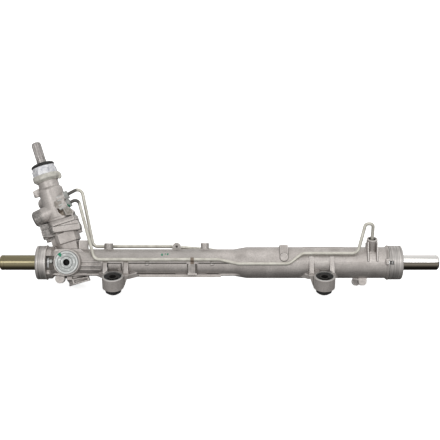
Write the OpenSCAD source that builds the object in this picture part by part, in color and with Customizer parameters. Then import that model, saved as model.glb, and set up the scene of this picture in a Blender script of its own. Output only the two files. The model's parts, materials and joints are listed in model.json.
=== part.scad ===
// Hydraulic power steering rack: cast housing, helical pinion with rotary valve,
// toothed rack bar with a power piston, two rubber-bushed mounts and two pipes.
// X runs along the rack, Z runs up the mounting bolts, Y points to the back.
// The origin lies midway between the two bolts, on the plane they are clamped to.

/* [Rack bar] */
// Length of the rack bar from end to end
bar_l = 788; // [780:1:820]
// Diameter of the rack bar
bar_d = 27; // [26:0.25:28]
// Travel of the bar each way from straight ahead
rack_travel = 66; // [50:1:66]
// Diameter of the threaded tie rod sockets in the bar ends
socket_d = 14; // [12:1:16]
// Depth of the tie rod sockets
socket_depth = 30; // [20:1:36]

/* [Rack and pinion teeth] */
// Number of teeth on the pinion
pinion_teeth = 8; // [7:1:9]
// Normal module of the teeth
gear_module = 1.85; // [1.8:0.05:1.95]
// Normal pressure angle of the teeth
gear_pressure = 20; // [19:0.5:21]
// Helix angle of the pinion
gear_helix = 30; // [26:1:32]
// Profile shift of the pinion, in modules
profile_shift = 0.5; // [0.45:0.05:0.55]
// Length of the pinion teeth along the pinion
gear_face = 32; // [28:1:33]
// Distance of the rack tooth tips from the axis of the bar
tooth_flat = 8.5; // [8:0.25:9]
// Play between the teeth, measured square to the flank
backlash = 0.2; // [0.16:0.02:0.3]

/* [Rack tube] */
// Left end face of the housing
left_end_x = -326; // [-332:1:-322]
// Length of the housing between its end faces
housing_l = 654; // [646:1:666]
// Diameter of the machined collars that carry the boots
collar_d = 61; // [59:0.5:64]
// Width of each boot collar
collar_w = 27; // [25:1:30]
// Diameter of the plain rack tube
tube_d = 40; // [39:0.5:42]
// Diameter of the thicker tube round the pinion
gear_case_d = 48; // [46:0.5:50]
// Outside diameter of the power cylinder
cylinder_d = 56; // [54:0.5:57]
// Bore of the power cylinder
cylinder_bore = 42; // [40:0.5:44]
// Place along the rack of the wall that closes the cylinder on the left
bulkhead_x = 108; // [104:1:110]
// Thickness of the right end bush inside the housing
end_bush_l = 38; // [34:1:40]
// Bore of the tube round the bar
tube_bore = 29; // [28.5:0.25:30]

/* [Pinion tower] */
// Place of the pinion and the rack guide along the rack
pinion_x = -264; // [-268:1:-260]
// Angle by which the gear plane leans away from the mounting bolts
gear_tilt = 28; // [22:1:32]
// Angle between the pinion and a square across the rack
tower_lean = 18; // [14:1:20]
// Outside diameter of the pinion tower
tower_d = 41.5; // [41:0.5:44]
// Height of the joint between the rack housing and the valve housing
joint_h = 71; // [69:0.5:74]
// Depth of the tower below the rack axis
tower_depth = 39; // [38.5:0.5:42]
// Diameter of the bearing bore at the foot of the tower
lower_bearing_d = 32; // [32:0.5:33]
// Diameter of the flange bolts
flange_bolt_d = 8; // [7:0.5:9]

/* [Rotary valve] */
// Outside diameter of the valve housing
valve_body_d = 44; // [43:0.5:48]
// Length of the valve housing body above its flange
valve_body_l = 60; // [58:1:66]
// Diameter of the valve sleeve
valve_sleeve_d = 34; // [33:0.5:35]
// Length of the valve sleeve
valve_sleeve_l = 62; // [56:1:64]
// Diameter of the input shaft inside the valve
input_d = 20; // [19:0.5:21]
// Diameter of the input shaft splines over their tips
spline_d = 16.6; // [16:0.2:17.4]
// Number of spline grooves
spline_count = 18; // [14:1:19]
// Height of the top of the input shaft above the rack axis
input_top_h = 227; // [222:1:232]
// Diameter of the torsion bar
torsion_bar_d = 5.2; // [4.6:0.2:6]
// Twist of the input shaft against the pinion each way, in degrees
valve_twist = 5; // [3:0.5:7]
// Diameter of the neck that carries the cap
neck_d = 37; // [36:0.5:39]
// Diameter of the cap over its flats
cap_d = 43; // [42.5:0.5:45]

/* [Rack guide] */
// Diameter of the rack guide
guide_d = 34; // [33:0.5:35]
// Diameter of the adjusting plug
plug_d = 42; // [41:0.5:43]
// Distance of the plug face from the rack axis
plug_face = 45; // [44:0.5:47]
// Free lift of the rack guide away from the bar
guide_lift = 0.12; // [0.08:0.01:0.16]

/* [Mounting] */
// Distance between the two mounting bolts
mount_spacing = 372; // [364:1:380]
// Distance of the rack axis behind the mounting bolts
mount_offset = 49; // [48:0.5:51]
// Height of the rack axis above the plane the mounts are clamped to
mount_rise = 35; // [34:0.5:36]
// Outside diameter of the mount bosses
boss_d = 38; // [37:0.5:40]
// Height of the metal of the mount bosses
boss_h = 24.5; // [23:0.5:25]
// Length of rubber that shows below the bosses
bush_tail = 9.5; // [9:0.5:11]
// Bore of the mount bosses
boss_bore = 31; // [30:0.5:32]
// Bore of the steel sleeves for the mounting bolts
mount_bolt_d = 12.5; // [12:0.25:13]

/* [Pipes] */
// Diameter of the two cylinder pipes
pipe_d = 6; // [5:0.25:6.5]
// Size across the flats of the tube nuts
tube_nut_af = 14; // [13:0.5:15]
// Place along the rack of the right port
right_port_x = 273; // [271:0.5:275]
// Place along the rack of the rear port
rear_port_x = 113; // [112:0.5:114]

/* [Fits] */
// Clearance round pieces that are pressed, screwed or seated
seat_gap = 0.02; // [0.01:0.01:0.04]
// Clearance round pieces that slide or turn
run_gap = 0.05; // [0.03:0.01:0.08]

/* [Hidden] */
$fn = 48;
// Overrun of cuts past the faces they open
cut = 1;
bar_r = bar_d / 2;
tube_r = tube_d / 2;
gear_case_r = gear_case_d / 2;
cylinder_r = cylinder_d / 2;
cylinder_bore_r = cylinder_bore / 2;
collar_r = collar_d / 2;
tube_bore_r = tube_bore / 2;
right_end_x = left_end_x + housing_l;
housing_mid_x = left_end_x + housing_l / 2;
bar_left_x = housing_mid_x - bar_l / 2;
bar_right_x = housing_mid_x + bar_l / 2;

// Tooth geometry
normal_pitch = PI * gear_module;
pitch_r = pinion_teeth * gear_module / (2 * cos(gear_helix));
rack_tooth_angle = gear_helix - tower_lean;
rack_pitch = normal_pitch / cos(rack_tooth_angle);
transverse_pressure = atan(tan(gear_pressure) / cos(gear_helix));
base_r = pitch_r * cos(transverse_pressure);
pinion_addendum = 0.9 * gear_module;
rack_addendum = gear_module;
tip_r = pitch_r + profile_shift * gear_module + pinion_addendum;
root_r = pitch_r - (1.25 - profile_shift) * gear_module;
tooth_width = PI * gear_module / cos(gear_helix) / 2
    + 2 * profile_shift * gear_module * tan(transverse_pressure);
pitch_plane = tooth_flat - rack_addendum;
centre_distance = pitch_plane + profile_shift * gear_module + pitch_r;
tooth_bottom_gap = 0.35;
rack_root = centre_distance - tip_r - tooth_bottom_gap;
// Length of the toothed stretch each side of the pinion: travel plus the reach of the pinion
tooth_zone = rack_travel + tip_r / cos(tower_lean) + bar_r * tan(tower_lean) + 3;
helix_turn = 180 / PI * tan(gear_helix) / pitch_r;

// Heights along the pinion, measured from the rack axis
gear_half = gear_face / 2;
bearing_w = 10;
bearing_shoulder_h = -21;
bearing_foot_h = bearing_shoulder_h - bearing_w;
bearing_bore_r = 6;
bearing_outer_r = lower_bearing_d / 2;
bearing_pitch_r = (bearing_outer_r + bearing_bore_r) / 2;
ball_r = 2.95;
ball_count = 7;
nut_h = 4.8;
pocket_r = tip_r + 1.2;
shank_r = 10;
pinion_bush_h = gear_half + 2.5;
pinion_bush_l = 11;
pinion_bush_r = 14;
pinion_seal_h = pinion_bush_h + pinion_bush_l + 2;
pinion_seal_l = 7;
pinion_seal_r = 16;
head_h = pinion_seal_h + pinion_seal_l + 4;
head_r = 15;
spigot_h = head_h + 16;
spigot_top_h = spigot_h + 10;
spigot_r = 13.2;
sleeve_r = valve_sleeve_d / 2;
sleeve_top_h = spigot_h + valve_sleeve_l;
input_r = input_d / 2;
spline_r = spline_d / 2;
input_bore_r = torsion_bar_d / 2 + 0.9;
tongue_h = spigot_top_h - 12;
tongue_r = 8;
tongue_half_w = 4.5;
tongue_corner = sqrt(pow(tongue_r, 2) - pow(tongue_half_w, 2));
slot_half_w = tongue_corner * sin(valve_twist) + tongue_half_w * cos(valve_twist) + run_gap;
torsion_foot_h = head_h - 2;
torsion_foot_r = 4;
flange_t = 11;
body_h = joint_h + flange_t;
neck_h = body_h + valve_body_l;
neck_r = neck_d / 2;
neck_top_h = neck_h + 23;
valve_bore_r = sleeve_r + run_gap;
input_bearing_r = 14;
input_bearing_l = 13;
input_bearing_h = neck_h - 8;
input_seal_h = input_bearing_h + input_bearing_l + 2;
input_seal_l = 8;
input_seal_r = 15;
collar_ring_h = neck_h + 9;
collar_ring_l = 11;
collar_ring_r = 24.5;
cap_h = neck_top_h;
cap_l = 18;
cap_flats_l = cap_l - 5;
cap_r = cap_d / 2;
dust_seal_h = cap_h + cap_l;
dust_seal_l = 5.6;
input_thin_r = spline_r + 0.5;
input_step_h = cap_h + 5;
spline_foot_h = dust_seal_h + 13;
spline_relief_l = 1.5;
spline_relief_r = spline_r - 0.6;
torsion_pin_h = input_step_h + 6;
torsion_head_l = 12;

// Tower outside and flange
tower_r = tower_d / 2;
valve_body_r = valve_body_d / 2;
flange_r = tower_r + 5.5;
tower_foot_l = 11;
tower_foot_r = lower_bearing_d / 2 + 3.6;
flange_foot_h = joint_h - flange_t;
flange_lobe_r = 10;
flange_bolt_r = flange_bolt_d / 2;
flange_bolt_l = 30;
flange_head_h = 6;
flange_lobe_l = 21;
// Distance of the flange bolts from the pinion axis, and their bearings round it, behind the tower
flange_bolt_ring = valve_body_r + flange_bolt_r + 6.5;
flange_bolt_spots = [for (a = [52, 148]) flange_bolt_ring * [cos(a), sin(a)]];
flange_oring_r = valve_bore_r + 2;

// Rack guide, measured square to the gear plane from the rack axis
guide_x = pinion_x - 3;
guide_r = guide_d / 2;
guide_bore_r = guide_r + run_gap;
guide_front = 6;
guide_back = 31.8;
liner_t = 0.8;
plug_r = plug_d / 2;
plug_back = guide_back + guide_lift + 0.08;
plug_boss = plug_face - 2;
plug_boss_r = plug_r + 2.2;
plug_hole_r = 5.7;
spring_pocket_r = 9;
spring_coil_r = 7;
spring_wire_r = 1.3;
spring_floor = 22;

// Cylinder, bushes and seals along the rack
end_bush_x = right_end_x - end_bush_l;
end_bush_r = cylinder_bore_r + 2;
piston_w = 18;
piston_x = (bulkhead_x + end_bush_x) / 2 - 3;
inner_seal_l = 14;
inner_seal_r = 19;
left_bush_l = 24;
left_bush_r = 22.5;
cone_x = 4;
cone_l = 46;
case_end_x = pinion_x + 50;
wire_r = 1.5;
wire_x = right_end_x - 22;
left_wire_x = left_end_x + 20;

// Mounts
boss_r = boss_d / 2;
boss_bore_r = boss_bore / 2;
boss_top_z = bush_tail + boss_h;
tail_r = 14;
mount_sleeve_r = mount_bolt_d / 2 + 2.5;
mount_web = 40;

// Pipes and ports
pipe_r = pipe_d / 2;
nut_r = tube_nut_af / 2 / cos(30);
nut_hex_l = 7;
nut_thread_r = 5;
nut_thread_l = 5.5;
right_port_top = 48;
right_port_r = 9.75;
right_port_bore_r = 6.85;
rear_port_at = [rear_port_x - 25, 14, -(cylinder_r + 7)];
rear_port_l = 30;
port_r = 3;
valve_nut_tilt = 10;
valve_nut_pitch = tube_nut_af + 1.5;
valve_nut_boss_r = tube_nut_af / 2 + 0.8;
// Face of the bosses for the tube nuts, and where the nuts sit: [depth, height] on the tower
valve_nut_face = valve_body_r + 1.5;
valve_nut_spots = [[-13, body_h + 17.5 + valve_nut_pitch], [-13, body_h + 17.5]];
module at_valve_nut(s) translate([0, s[0], s[1]]) rotate([0, 90 - valve_nut_tilt, 0]) children();

// Frames: the rack axis with Y up the gear plane and Z toward the rack guide,
// and the pinion axis with Z up the tower and Y away from the rack
module on_rack_axis() translate([0, mount_offset, mount_rise]) children();
module gear_frame() on_rack_axis() rotate([90 - gear_tilt, 0, 0]) children();
module tower_frame() gear_frame() translate([pinion_x, 0, -centre_distance])
    rotate([0, 0, tower_lean]) rotate([-90, 0, 0]) children();
module guide_frame() gear_frame() translate([guide_x, 0, 0]) children();

function tower_to_gear(p) = [
    pinion_x + p.x * cos(tower_lean) - p.z * sin(tower_lean),
    p.x * sin(tower_lean) + p.z * cos(tower_lean),
    -centre_distance - p.y];
function port_axis_to_gear(h) = [right_port_x, h * cos(gear_tilt), h * sin(gear_tilt)];

// A solid turned about X from [x, radius] points
module turned(points) rotate([0, 90, 0]) rotate_extrude()
    polygon([for (p = points) [p[1], p[0]]]);
// A ring turned about X with a rectangular section
module ring_x(x, l, r_in, r_out) turned([[x, r_in], [x, r_out], [x + l, r_out], [x + l, r_in]]);
// A ring turned about Z with a rectangular section
module ring_z(h, l, r_in, r_out) translate([0, 0, h]) rotate_extrude()
    polygon([[r_in, 0], [r_out, 0], [r_out, l], [r_in, l]]);
module disc_z(h, l, r) translate([0, 0, h]) cylinder(r = r, h = l);
// A round cord section bent into a circle about Z
module torus_z(h, ring, r) translate([0, 0, h]) rotate_extrude() translate([ring, 0]) circle(r = r);
module torus_x(x, ring, r) rotate([0, 90, 0]) torus_z(x, ring, r);
// A shallow turned groove for a [x, radius] outline
function groove(x, r, w, d) = [[x - w / 2, r], [x - w / 2, r - d], [x + w / 2, r - d], [x + w / 2, r]];
// A section in the gear plane, [height, depth], drawn out along the rack
module along_rack(x, l) translate([x, 0, 0]) rotate([90, 0, 90]) linear_extrude(l) children();

// Tube sweep: a closed tube of round section along a list of points
function unit(v) = v / norm(v);
function path_dir(p, i) = unit(i == 0 ? p[1] - p[0]
    : i == len(p) - 1 ? p[i] - p[i - 1] : unit(p[i + 1] - p[i]) + unit(p[i] - p[i - 1]));
function frame_step(n, d) = unit(n - (n * d) * d);
function path_normals(p, n, i = 0) = i == len(p) ? []
    : let (m = frame_step(n, path_dir(p, i))) concat([m], path_normals(p, m, i + 1));
module swept_tube(p, r, sides = 10) {
    start = abs(path_dir(p, 0).z) > 0.8 ? [1, 0, 0] : [0, 0, 1];
    n = path_normals(p, start);
    points = [for (i = [0:len(p) - 1]) let (b = cross(path_dir(p, i), n[i]))
        for (k = [0:sides - 1]) let (a = 360 * k / sides) p[i] + r * (cos(a) * n[i] + sin(a) * b)];
    last = (len(p) - 1) * sides;
    faces = concat([[for (k = [0:sides - 1]) k]], [[for (k = [0:sides - 1]) last + sides - 1 - k]],
        [for (i = [0:len(p) - 2]) for (k = [0:sides - 1]) let (j = (k + 1) % sides, o = i * sides)
            each [[o + k, o + k + sides, o + j + sides], [o + k, o + j + sides, o + j]]]);
    polyhedron(points, faces);
}
// Corners of a pipe rounded to arcs: each corner is [point, bend radius]
function bend(a, b, c, r, steps) = let (
    u = unit(a - b), w = unit(c - b), half = acos(u * w) / 2, t = r / tan(half),
    centre = b + unit(u + w) * r / sin(half), from = b + u * t - centre,
    side = unit(-u), turn = 180 - 2 * half)
    [for (k = [0:steps]) let (f = turn * k / steps) centre + from * cos(f) + side * r * sin(f)];
function bent_path(corners) = [for (i = [0:len(corners) - 1]) each
    (i == 0 || i == len(corners) - 1) ? [corners[i][0]]
    : bend(corners[i - 1][0], corners[i][0], corners[i + 1][0], corners[i][1], corners[i][2])];

// Outline of the casting along the rack, from collar to collar
housing_outline = concat(
    [[left_end_x, 0], [left_end_x, collar_r - 2], [left_end_x + 2, collar_r]],
    groove(left_end_x + 6, collar_r, 1.2, 0.7),
    [[left_end_x + collar_w - 9, collar_r], [left_end_x + collar_w - 8, collar_r - 1.5],
     [left_end_x + collar_w, collar_r - 1.5], [left_end_x + collar_w + 5, gear_case_r],
     [case_end_x, gear_case_r], [case_end_x + 5, tube_r], [cone_x, tube_r],
     [cone_x + cone_l, cylinder_r], [right_end_x - collar_w - 3, cylinder_r],
     [right_end_x - collar_w, collar_r]],
    groove(wire_x, collar_r, 1.4, 0.8),
    groove(right_end_x - 6, collar_r, 1.2, 0.7),
    [[right_end_x - 3, collar_r], [right_end_x, collar_r - 3], [right_end_x, 0]]);
// Outline of the bores along the rack, for the bushes, the bar, the seal and the piston
bore_outline = [[left_end_x - cut, 0], [left_end_x - cut, left_bush_r],
    [left_end_x + left_bush_l, left_bush_r], [left_end_x + left_bush_l, tube_bore_r],
    [bulkhead_x - inner_seal_l, tube_bore_r], [bulkhead_x - inner_seal_l, inner_seal_r],
    [bulkhead_x, inner_seal_r], [bulkhead_x, cylinder_bore_r], [end_bush_x, cylinder_bore_r],
    [end_bush_x, end_bush_r], [right_end_x + cut, end_bush_r], [right_end_x + cut, 0]];

// Cast section of the rack tube: flat top, slanted front face, lip under the pipe
tube_top = tube_r + 4;
shelf_front = tube_r + 4;
module tube_section() polygon([[-0.5, -12], [tube_top - 4, -14], [tube_top, -9], [tube_top, 7],
    [tube_top - 1.6, 8.4], [7, shelf_front - 3.5], [2.5, shelf_front - 3.5], [2.5, shelf_front],
    [-0.5, shelf_front], [-0.5, 8]]);
// Section of the ledge along the bottom of the rack tube
module ledge_section() polygon([[-tube_top, -8], [-tube_top, 13], [3 - tube_top, 14.5],
    [4.5 - tube_top, 13], [-14, 10], [-14, -8]]);
// A post that stands up the gear plane from the tube
module post(x, top, r) translate([x, 12, 0]) rotate([-90, 0, 0]) cylinder(r = r, h = top - 12);
// A round lug with a web to the tube, its axis toward the front
module front_lug(x, v, r, back, front) {
    translate([x, v, back]) cylinder(r = r, h = front - back);
    translate([x - r, min(v, 0), back]) cube([2 * r, abs(v), front - back]);
}
// Cast outside of the rack tube, with its ribs, posts, lugs and raised pad
case_rib_w = 1.8;
module tube_casting() {
    turned(housing_outline);
    along_rack(pinion_x + 12, cone_x + 12 - pinion_x) tube_section();
    along_rack(pinion_x + 20, cone_x + 14 - pinion_x) ledge_section();
    for (x = [-127.4, -11.7]) translate([x, -2, 12]) cylinder(r = 3.2, h = shelf_front - 11);
    post(-198, 34.7, 8.1);
    post(-25, 35.3, 7.5);
    front_lug(-75.5, 28.4, 7.4, -3, 5);
    translate([-251, 10, -6]) cube([16, 30, 14]);
    translate([-55, -tube_top + 1, 0]) cube([16, tube_top + 2, shelf_front + 1]);
    translate([116, 9.5, 0]) cylinder(r = 7, h = cylinder_r + 3);
    translate([109, 9.5, 0]) cube([14, 22, cylinder_r - 2]);
    front_lug(258, -34, 7.4, -6, 6);
    translate([242, -cylinder_r - 4, -5]) cube([16, 10, 10]);
    front_lug(-283.5, -27.5, 7.4, -8, 8);
    translate([-272, -31.5, -6]) cube([9, 14, 12]);
    for (v = [-14, -7.1, 0.5]) translate([pinion_x + 16, v, 0])
        cube([38, case_rib_w, sqrt(pow(gear_case_r, 2) - pow(v + case_rib_w / 2, 2)) + 1]);
    intersection() {
        turned([[150, 0], [150, cylinder_r + 0.8], [224, cylinder_r + 0.8], [224, 0]]);
        translate([150, 23, 3]) cube([74, 10, 12]);
    }
    for (x = [right_port_x - 9, right_port_x + 7])
        translate([x, 2, 0]) cube([2, 34, cylinder_r + 2.5]);
}
// Case round the pinion, the boss of the guide plug and the seat of the guide
module gear_case() {
    translate([0, 0, -centre_distance - tower_r + 3]) linear_extrude(centre_distance + tower_r + 12)
        polygon([[-31, -22], [-31, 16], [-24, 24], [20, 24], [30, 16], [36, -12], [30, -22], [0, -25]]);
    cylinder(r = plug_boss_r, h = plug_boss);
}
// Tower of the rack housing with its flange and bolt ears, cut flat at the joint
module pinion_tower() {
    disc_z(tower_foot_l - tower_depth, tower_depth - tower_foot_l + joint_h - 1, tower_r);
    disc_z(-tower_depth, tower_foot_l + 1, tower_foot_r - 1.2);
    for (h = [-tower_depth, tower_foot_l - tower_depth - 3]) disc_z(h, 3, tower_foot_r);
    disc_z(flange_foot_h, flange_t + cut, flange_r);
    for (s = flange_bolt_spots) {
        translate([s.x, s.y, joint_h - flange_lobe_l])
            cylinder(r = flange_lobe_r, h = flange_lobe_l + cut);
        rotate([0, 0, atan2(s.y, s.x)]) translate([0, -9, flange_foot_h + 1])
            cube([flange_bolt_ring, 18, flange_t]);
    }
    translate([-tower_r - 5, -9, 8]) cube([16, 16, joint_h - 12]);
    translate([-tower_r - 8.5, -3, flange_foot_h - 5]) cylinder(r = 9, h = flange_t + 4);
}
// Bores of the tower: pinion pocket, bearing, bush, seal and valve space
module tower_bores() {
    disc_z(-tower_depth - cut, bearing_shoulder_h + tower_depth + cut, bearing_outer_r + seat_gap);
    disc_z(bearing_shoulder_h - cut, pinion_bush_h - bearing_shoulder_h + cut, pocket_r);
    disc_z(pinion_bush_h, pinion_bush_l + cut, pinion_bush_r + seat_gap);
    disc_z(pinion_bush_h + pinion_bush_l, 2 + pinion_seal_l, pinion_seal_r + seat_gap);
    disc_z(pinion_seal_h + pinion_seal_l - cut, joint_h, valve_bore_r);
    ring_z(joint_h - 1.7, 1.7 + cut, flange_oring_r - 1.1, flange_oring_r + 1.1);
    for (s = flange_bolt_spots) bolt_hole(s, flange_bolt_r + seat_gap);
}
module bolt_hole(spot, r) translate([spot.x, spot.y, joint_h - flange_lobe_l - cut])
    cylinder(r = r, h = flange_lobe_l + flange_t + cut);
// Rib from a mount boss up to the tube, drawn as [y, z] with its top points, from x to x + mount_rib_w
mount_rib_w = 8;
module mount_rib(x, foot, top) translate([x, 0, 0]) rotate([90, 0, 90]) linear_extrude(mount_rib_w)
    polygon(concat([[12, foot], [12, boss_top_z - 0.5]], top, [[mount_web, top[len(top) - 1].y],
        [mount_web, foot]]));
// One mount boss with a rib on each side, a gusset on the inner side and wings along the tube
module mount_boss(side) translate([side * mount_spacing / 2, 0, 0]) {
    rib_top = side < 0 ? [[27.5, 47.5]] : [[20, 44], [30, 57]];
    inner_x = boss_r - 1.5;
    translate([0, 0, bush_tail]) cylinder(r = boss_r, h = boss_h);
    mount_rib(side < 0 ? -boss_r : boss_r - mount_rib_w, bush_tail + 4, rib_top);
    mount_rib(side < 0 ? inner_x : -inner_x - mount_rib_w, boss_top_z - 4, rib_top);
    translate([0, 36, 0]) rotate([90, 0, 0]) linear_extrude(33) polygon([for (p = [[8, bush_tail],
        [boss_r - 2, bush_tail], [boss_r + 1, bush_tail + 4], [boss_r + 8, boss_top_z - 1],
        [8, boss_top_z - 1]]) [-side * p.x, p.y]]);
    translate([-boss_r + 2, 6, bush_tail + 4]) cube([2 * boss_r - 4, mount_web - 9, 7]);
    translate([0, 0, bush_tail + 8]) linear_extrude(9) polygon([for (p = [[-boss_r - 18, 34],
        [-boss_r + 1, 18], [boss_r + 7, 18], [boss_r + 38, 35], [boss_r + 38, 38], [-boss_r - 18, 38]])
        [-side * p.x, p.y]]);
}
module right_port_boss() translate([right_port_x, 0, 0])
    cylinder(r = right_port_r, h = right_port_top);
module rear_port_boss() translate(rear_port_at) {
    rotate([0, 90, 0]) cylinder(r = 9, h = rear_port_l);
    translate([4, -9, 0]) cube([rear_port_l - 4, 14, 16]);
}
module rack_housing() color([0.73, 0.71, 0.69]) difference() {
    union() {
        gear_frame() tube_casting();
        guide_frame() gear_case();
        tower_frame() pinion_tower();
        for (side = [-1, 1]) mount_boss(side);
        on_rack_axis() right_port_boss();
        gear_frame() rear_port_boss();
    }
    gear_frame() turned(bore_outline);
    tower_frame() tower_bores();
    tower_frame() disc_z(joint_h, 2 * cut, 2 * flange_bolt_ring);
    guide_frame() cylinder(r = guide_bore_r, h = plug_back);
    guide_frame() translate([0, 0, plug_back]) cylinder(r = plug_r + seat_gap, h = 20);
    for (side = [-1, 1]) translate([side * mount_spacing / 2, 0, bush_tail - cut])
        cylinder(r = boss_bore_r + seat_gap, h = boss_h + 2 * cut);
    on_rack_axis() translate([right_port_x, 0, right_port_top - 18])
        cylinder(r = right_port_bore_r, h = 18 + cut);
    on_rack_axis() translate([right_port_x, 0, 10]) cylinder(r = port_r, h = right_port_top - 12);
    gear_frame() translate(rear_port_at) translate([-cut, 0, 0]) rotate([0, 90, 0]) {
        cylinder(r = nut_thread_r + seat_gap, h = nut_thread_l + 3);
        cylinder(r = port_r, h = rear_port_x - rear_port_at.x + cut + 1.5);
    }
    gear_frame() translate([rear_port_x, 0, 0]) rotate([atan2(rear_port_at.y, -rear_port_at.z), 0, 0])
        translate([0, 0, -norm([rear_port_at.y, rear_port_at.z])]) cylinder(r = port_r - 0.4, h = 18);
    gear_frame() translate([-75.5, 28.4, -4]) cylinder(r = 1.8, h = 10);
    gear_frame() torus_x(wire_x, end_bush_r, wire_r);
    gear_frame() torus_x(left_wire_x, left_bush_r, wire_r);
    gear_frame() translate([wire_x - 5, -4, end_bush_r - 2]) cube([9, 7, collar_r]);
    gear_frame() translate([left_wire_x - 2, -20, left_bush_r - 2]) cube([8, 24, collar_r]);
}

// Rubber bushes pressed in the mount bosses and the steel sleeves bonded inside them
module mount_bush(side) color([0.08, 0.08, 0.08]) translate([side * mount_spacing / 2, 0, 0])
    rotate_extrude() polygon([[mount_sleeve_r, 1.5], [tail_r - 3, 1.5], [tail_r, 4],
        [tail_r, bush_tail - 0.5], [boss_bore_r, bush_tail + 2], [boss_bore_r, boss_top_z - 2],
        [boss_bore_r - 4, boss_top_z - 3], [mount_sleeve_r, boss_top_z - 3.5]]);
module mount_sleeve(side) color([0.3, 0.3, 0.3]) translate([side * mount_spacing / 2, 0, 0])
    ring_z(0, boss_top_z - 1, mount_bolt_d / 2, mount_sleeve_r);
module left_mount_bush() mount_bush(-1);
module right_mount_bush() mount_bush(1);
module left_mount_sleeve() mount_sleeve(-1);
module right_mount_sleeve() mount_sleeve(1);

// Rack guide that presses the bar onto the pinion, with its liner, spring, plug and ring
module rack_guide() color([0.75, 0.75, 0.74]) guide_frame() difference() {
    disc_z(guide_front, guide_back - guide_front, guide_r);
    rotate([0, 90, 0]) cylinder(r = bar_r + run_gap + liner_t + seat_gap, h = 2 * guide_d,
        center = true);
    disc_z(spring_floor, guide_back, spring_pocket_r);
}
module guide_liner() color([0.55, 0.4, 0.2]) guide_frame() intersection() {
    ring_x(-guide_r, 2 * guide_r, bar_r + run_gap, bar_r + run_gap + liner_t);
    disc_z(guide_front + 1, guide_back, guide_r - 2);
}
spring_turns = 4.5;
spring_foot = spring_floor + spring_wire_r + guide_lift + 0.1;
spring_top = plug_back + 4 - spring_wire_r - 0.1;
module guide_spring() color([0.4, 0.4, 0.42]) guide_frame() swept_tube([for (k = [0:54])
    let (a = 360 * spring_turns * k / 54, f = min(1, max(0, (k - 9) / 36)))
    [spring_coil_r * cos(a), spring_coil_r * sin(a), spring_foot + (spring_top - spring_foot) * f]],
    spring_wire_r, 8);
module guide_plug() color([0.8, 0.81, 0.82]) guide_frame() difference() {
    disc_z(plug_back, plug_face - plug_back, plug_r);
    disc_z(plug_back - cut, 4 + cut, spring_pocket_r);
    disc_z(plug_face - 7, 7 + cut, plug_hole_r);
    ring_z(plug_face - 0.8, 0.8 + cut, 10, 11);
    ring_z(plug_face - 0.8, 0.8 + cut, 15.6, 16.6);
    ring_z(plug_back + 2, 2.2, plug_r - 1.6, plug_r + cut);
}
module guide_plug_oring() color([0.1, 0.1, 0.1]) guide_frame()
    ring_z(plug_back + 2.1, 2, plug_r - 1.55, plug_r);

// Bushes, seals and lock wires in the two ends of the housing
module left_end_bush() color([0.6, 0.6, 0.6]) gear_frame() difference() {
    ring_x(left_end_x + 1, left_bush_l - 1, bar_r + run_gap, left_bush_r - seat_gap);
    torus_x(left_wire_x, left_bush_r, wire_r);
}
module lock_wire(x, ring, tail) {
    torus_x(x, ring, wire_r - seat_gap);
    translate([x, 0, ring]) cylinder(r = wire_r - seat_gap, h = tail);
}
module left_lock_wire() color([0.8, 0.8, 0.78]) gear_frame() lock_wire(left_wire_x, left_bush_r, 4.5);
module right_lock_wire() color([0.8, 0.8, 0.78]) gear_frame() lock_wire(wire_x, end_bush_r, 5);
module end_bush() color([0.6, 0.6, 0.6]) gear_frame() difference() {
    ring_x(end_bush_x + 0.5, end_bush_l - 1.5, bar_r + run_gap, end_bush_r - seat_gap);
    torus_x(wire_x, end_bush_r, wire_r);
    ring_x(end_bush_x + 6, 3, end_bush_r - 2, end_bush_r + cut);
    ring_x(right_end_x - 10, 12, bar_r, bar_r + 6 + seat_gap);
}
module end_bush_oring() color([0.1, 0.1, 0.1]) gear_frame()
    ring_x(end_bush_x + 6.1, 2.8, end_bush_r - 1.95, end_bush_r);
module outer_rack_seal() color([0.1, 0.1, 0.1]) gear_frame() turned([
    [right_end_x - 9.9, bar_r + run_gap], [right_end_x - 9.9, bar_r + 6],
    [right_end_x - 1.5, bar_r + 6], [right_end_x - 1.5, bar_r + 4], [right_end_x - 5, bar_r + 3],
    [right_end_x - 2, bar_r + run_gap]]);
module inner_rack_seal() color([0.1, 0.1, 0.1]) gear_frame() turned([
    [bulkhead_x - inner_seal_l + 0.1, bar_r + run_gap], [bulkhead_x - inner_seal_l + 0.1, inner_seal_r],
    [bulkhead_x - 1, inner_seal_r], [bulkhead_x - 1, inner_seal_r - 1.5],
    [bulkhead_x - 7, bar_r + 2], [bulkhead_x - 2, bar_r + run_gap]]);

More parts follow.
